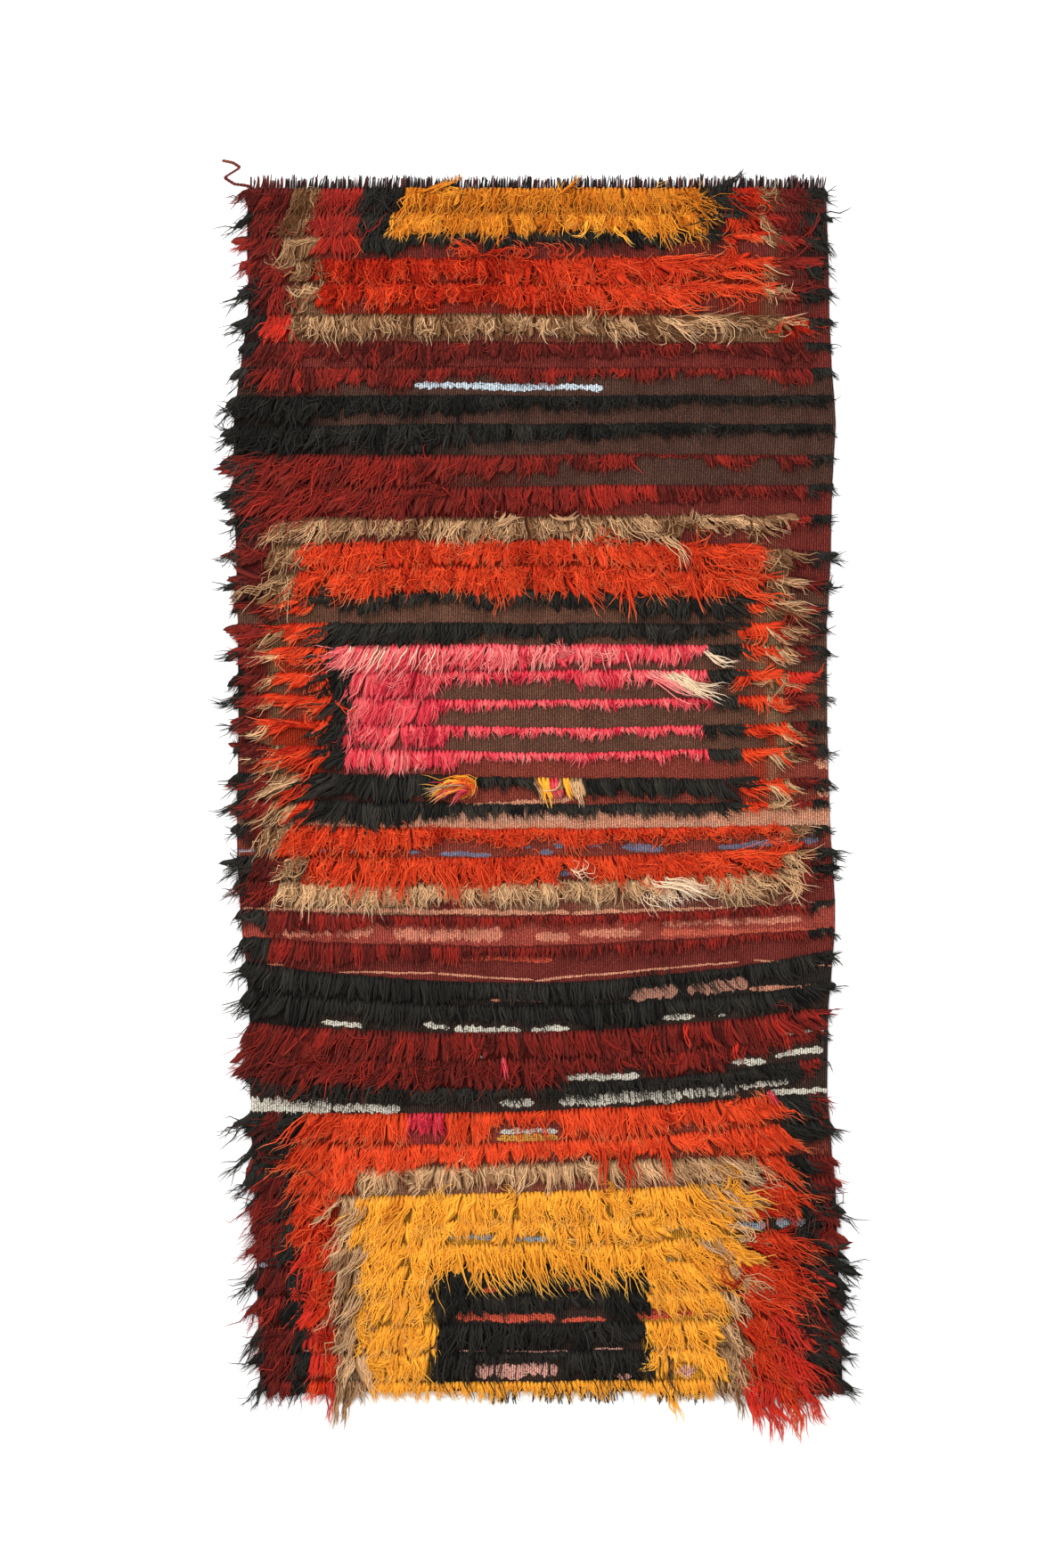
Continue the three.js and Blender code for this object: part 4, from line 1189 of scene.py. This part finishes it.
def lay_curls(heap, knot, n, habit, random):
    """Short curls that stand off the pile."""
    lay_strands(
        heap,
        STRAND,
        x=knot["x"] + random.uniform(-3.5, 3.5, n),
        y=knot["y"] - knot["long"] * random.uniform(-0.1, 0.55, n),
        z_root=GROUND + 7.0,
        long=random.uniform(16, 34, n),
        width=random.uniform(1.3, 2.0, n),
        heading=knot["comb"] + random.normal(0, 60, n),
        wave=random.uniform(0, 30, n),
        period=30.0,
        phase=random.uniform(0, 6, n),
        bend=random.choice([-1, 1], n) * random.uniform(2.5, 8.0, n),
        layer=random.uniform(0.6, 1.0, n),
        lift=6.0,
        tone=knot["tone"] + 0.06 + habit.uneven * (knot["dye"] + random.normal(0, 0.9, n)),
    )


def lay_wisps(heap, knot, n, random):
    """Thin long wisps that stray past the rim of the rug."""
    lay_strands(
        heap,
        LONG_STRAND,
        x=knot["x"] + random.uniform(-2, 2, n),
        y=knot["y"] + random.uniform(-2, 2, n),
        z_root=GROUND,
        long=within_reach(knot, np.maximum(knot["long"], 24)) * random.uniform(1.0, 1.3, n),
        width=random.uniform(1.5, 2.2, n),
        heading=knot["comb"] + random.normal(0, 9, n),
        wave=random.uniform(6, 30, n),
        period=random.uniform(28, 50, n),
        phase=knot["phase"] + random.normal(0, 0.3, n),
        bend=random.normal(0, 0.25, n),
        layer=random.uniform(0, 1, n),
        lift=2.4,
        tone=knot["tone"] + random.normal(0, 0.1, n),
    )


def lay_rows(heaps, table, seed):
    """The pile of every row, wool by wool."""
    random = np.random.default_rng(seed)
    for wool_name, habit in HABITS.items():
        for part in ("upper", "lower"):
            chosen = (table["wool"] == wool_name) & ((table["y"] < 0) == (part == "lower"))
            if not chosen.any():
                continue
            heap = heaps[wool_name, part]
            for short, bed, strand, many in (
                (False, BED, LONG_STRAND if habit.slack else STRAND, habit.long),
                (True, SHORT_BED, SHORT_STRAND, habit.short),
            ):
                here = chosen & (table["short"] == short)
                lay_beds(heap, *pick(table, here), habit, bed, random)
                lay_fine(heap, *pick(table, here, many), habit, strand, random)
            curled = chosen & (table["curl"] > CURLY)
            lay_curls(heap, *pick(table, curled, habit.curls), habit, random)
            stray = chosen & (table["rim"] > AT_RIM) & (random.random(len(chosen)) < STRAY_SHARE)
            lay_wisps(heap, *pick(table, stray, habit.wisps), random)


def lay_accents(heaps, seed):
    """The odd long, curled or light tufts that stand out of the rows."""
    random = np.random.default_rng(seed)
    for x, y, letter, count, spread, long, heading, bend, lift in ACCENTS:
        wool_name, tone, _ = WOOLS[letter]
        nest = abs(bend) >= NEST_BEND
        stout = END_STOUT if y < END_Y else 1
        least, most = (1.2, 1.8) if nest else (1.7, 2.6)
        apart = random.uniform(-0.5, 0.5, count) * spread
        closing = 0.8 if spread < OPEN_TUFT else 0.0
        close = np.degrees(np.arctan2(closing * apart * math.cos(math.radians(heading)), long))
        lay_strands(
            heaps[wool_name, "lower" if y < 0 else "upper"],
            LONG_STRAND,
            x=x + apart,
            y=y + random.uniform(-3, 3, count),
            z_root=GROUND + 2.0,
            long=long * random.uniform(0.7, 1.1, count),
            width=random.uniform(least, most, count) * stout,
            heading=heading - close + random.normal(0, 45 if nest else 6, count),
            wave=random.uniform(8, 26) + random.normal(0, 4, count),
            period=random.uniform(0.6, 0.9) * long * random.uniform(0.85, 1.15, count),
            phase=random.uniform(0, 2 * math.pi) + random.normal(0, 0.5, count),
            bend=bend * random.uniform(0.4 if nest else 0.8, 1.2, count),
            layer=random.uniform(0.2, 1.0, count),
            lift=float(lift),
            tone=tone + random.normal(0, 0.2, count),
            fall=4.0 if abs(heading) > 100 else FALL,
        )


def make_pile():
    table = describe(knots())
    heaps = defaultdict(Heap)
    lay_rows(heaps, table, SEED + 11)
    lay_accents(heaps, SEED + 20)
    materials = {name: yarn_material("wool_" + name, *colours) for name, colours in WOOL_COLOURS.items()}
    return [
        heap.build(f"pile_{wool_name}_{part}", materials[wool_name])
        for (wool_name, part), heap in sorted(heaps.items())
    ]


# The warp ends

CUT_END = np.array([(0.0, 1.0, 0.8), (0.3, 1.0, 0.8), (0.6, 0.95, 0.7), (0.93, 0.7, 0.5), (1.0, 0.0, 0.0)])


def make_fringe(name, material, starts, y, heading, reach, seed, extra=()):
    """Cut warp ends, in pairs, that lie on the floor past the end of the cloth."""
    random = np.random.default_rng(seed)
    heap = Heap()
    x = np.repeat(starts, 2) + np.tile([-1.1, 1.1], len(starts)) + random.uniform(-0.6, 0.6, 2 * len(starts))
    n = len(x)
    long = np.repeat(random.uniform(*reach, len(starts)), 2) * random.uniform(0.8, 1.1, n)
    lean = heading + np.repeat(random.normal(0, 9, len(starts)), 2) + random.normal(0, 4, n)
    shares = CUT_END[:, 0]
    phase = random.uniform(0, 6, n)
    path = grow(x, np.full(n, y), long, shares, lean, np.full(n, 8.0), 30.0, phase, bend=0.0, fall=0.01)
    rise = np.broadcast_to(1.6 - 1.3 * shares, (n, len(shares)))
    path = np.concatenate([path, rise[..., None]], 2)
    width = random.uniform(1.7, 2.5, n)[:, None]
    tone = np.clip(np.repeat(random.normal(0.02, 0.2, len(starts)), 2) + 0.5 * (x < -425), 0, 1)
    heap.add(*tubes(path, width * CUT_END[:, 1], width * 0.7 * CUT_END[:, 2], tone, 0.05))
    for tube in extra:
        heap.add(*tube)
    return heap.build(name, material)


def loose_yarn():
    """The long two-ply warp yarn that lies loose past the upper left corner."""
    route = np.array(LOOSE_YARN, float)
    legs = np.linalg.norm(np.diff(route, axis=0), axis=1)
    marks = np.concatenate([[0], np.cumsum(legs)])
    s = np.linspace(0, marks[-1], 64)
    x, y = np.interp(s, marks, route[:, 0]), np.interp(s, marks, route[:, 1])
    soft = np.array([0.2, 0.6, 0.2])
    x[1:-1], y[1:-1] = np.convolve(x, soft, "valid"), np.convolve(y, soft, "valid")
    plies = []
    for turn in (0.0, math.pi):
        twist = 2 * math.pi * s / 11 + turn
        z = 1.6 + 0.9 * np.cos(twist)
        path = np.stack([x + 1.1 * np.sin(twist), y + 1.1 * np.sin(twist), z], 1)[None]
        width = np.full((1, len(s)), 3.2)
        plies.append(tubes(path, width, width * 0.7, np.array([0.75]), 0.1))
    return plies


def make_fringes(material):
    top = np.arange(edge("left", TOP) + 5, edge("right", TOP) - 3, 4.4)
    shown = [np.arange(start, stop, 6.6) for start, stop in LOWER_WARPS]
    upper = make_fringe("warp_ends_upper", material, top, TOP - 1, 180, (19, 27), SEED + 30, loose_yarn())
    bottom = np.concatenate(shown)
    lower = make_fringe("warp_ends_lower", material, bottom, BOTTOM + 1, 0, (14, 26), SEED + 31)
    return upper, lower


make_camera()
make_light()
make_floor()
bpy.context.scene.view_settings.view_transform = "Standard"

ground_weave = weave("ground_weave")
cloth = make_cloth(ground_weave)
bands = [
    make_bands("weft_bands_loose", LOOSE_WEFTS, weave("open_weave", open_weave=srgb(74, 40, 34))),
    make_bands("weft_bands_packed", PACKED_WEFTS, ground_weave),
]
pile = make_pile()
upper_ends, lower_ends = make_fringes(yarn_material("warp_yarn", *WARP_COLOURS))

pieces = [cloth, *bands, *pile, upper_ends, lower_ends]
for piece in pieces:
    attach(piece, "root")
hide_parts("rug_body")
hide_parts("warp_fringe_top")
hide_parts("warp_fringe_bottom")

for piece in pieces:
    print(piece.name, len(piece.data.polygons))
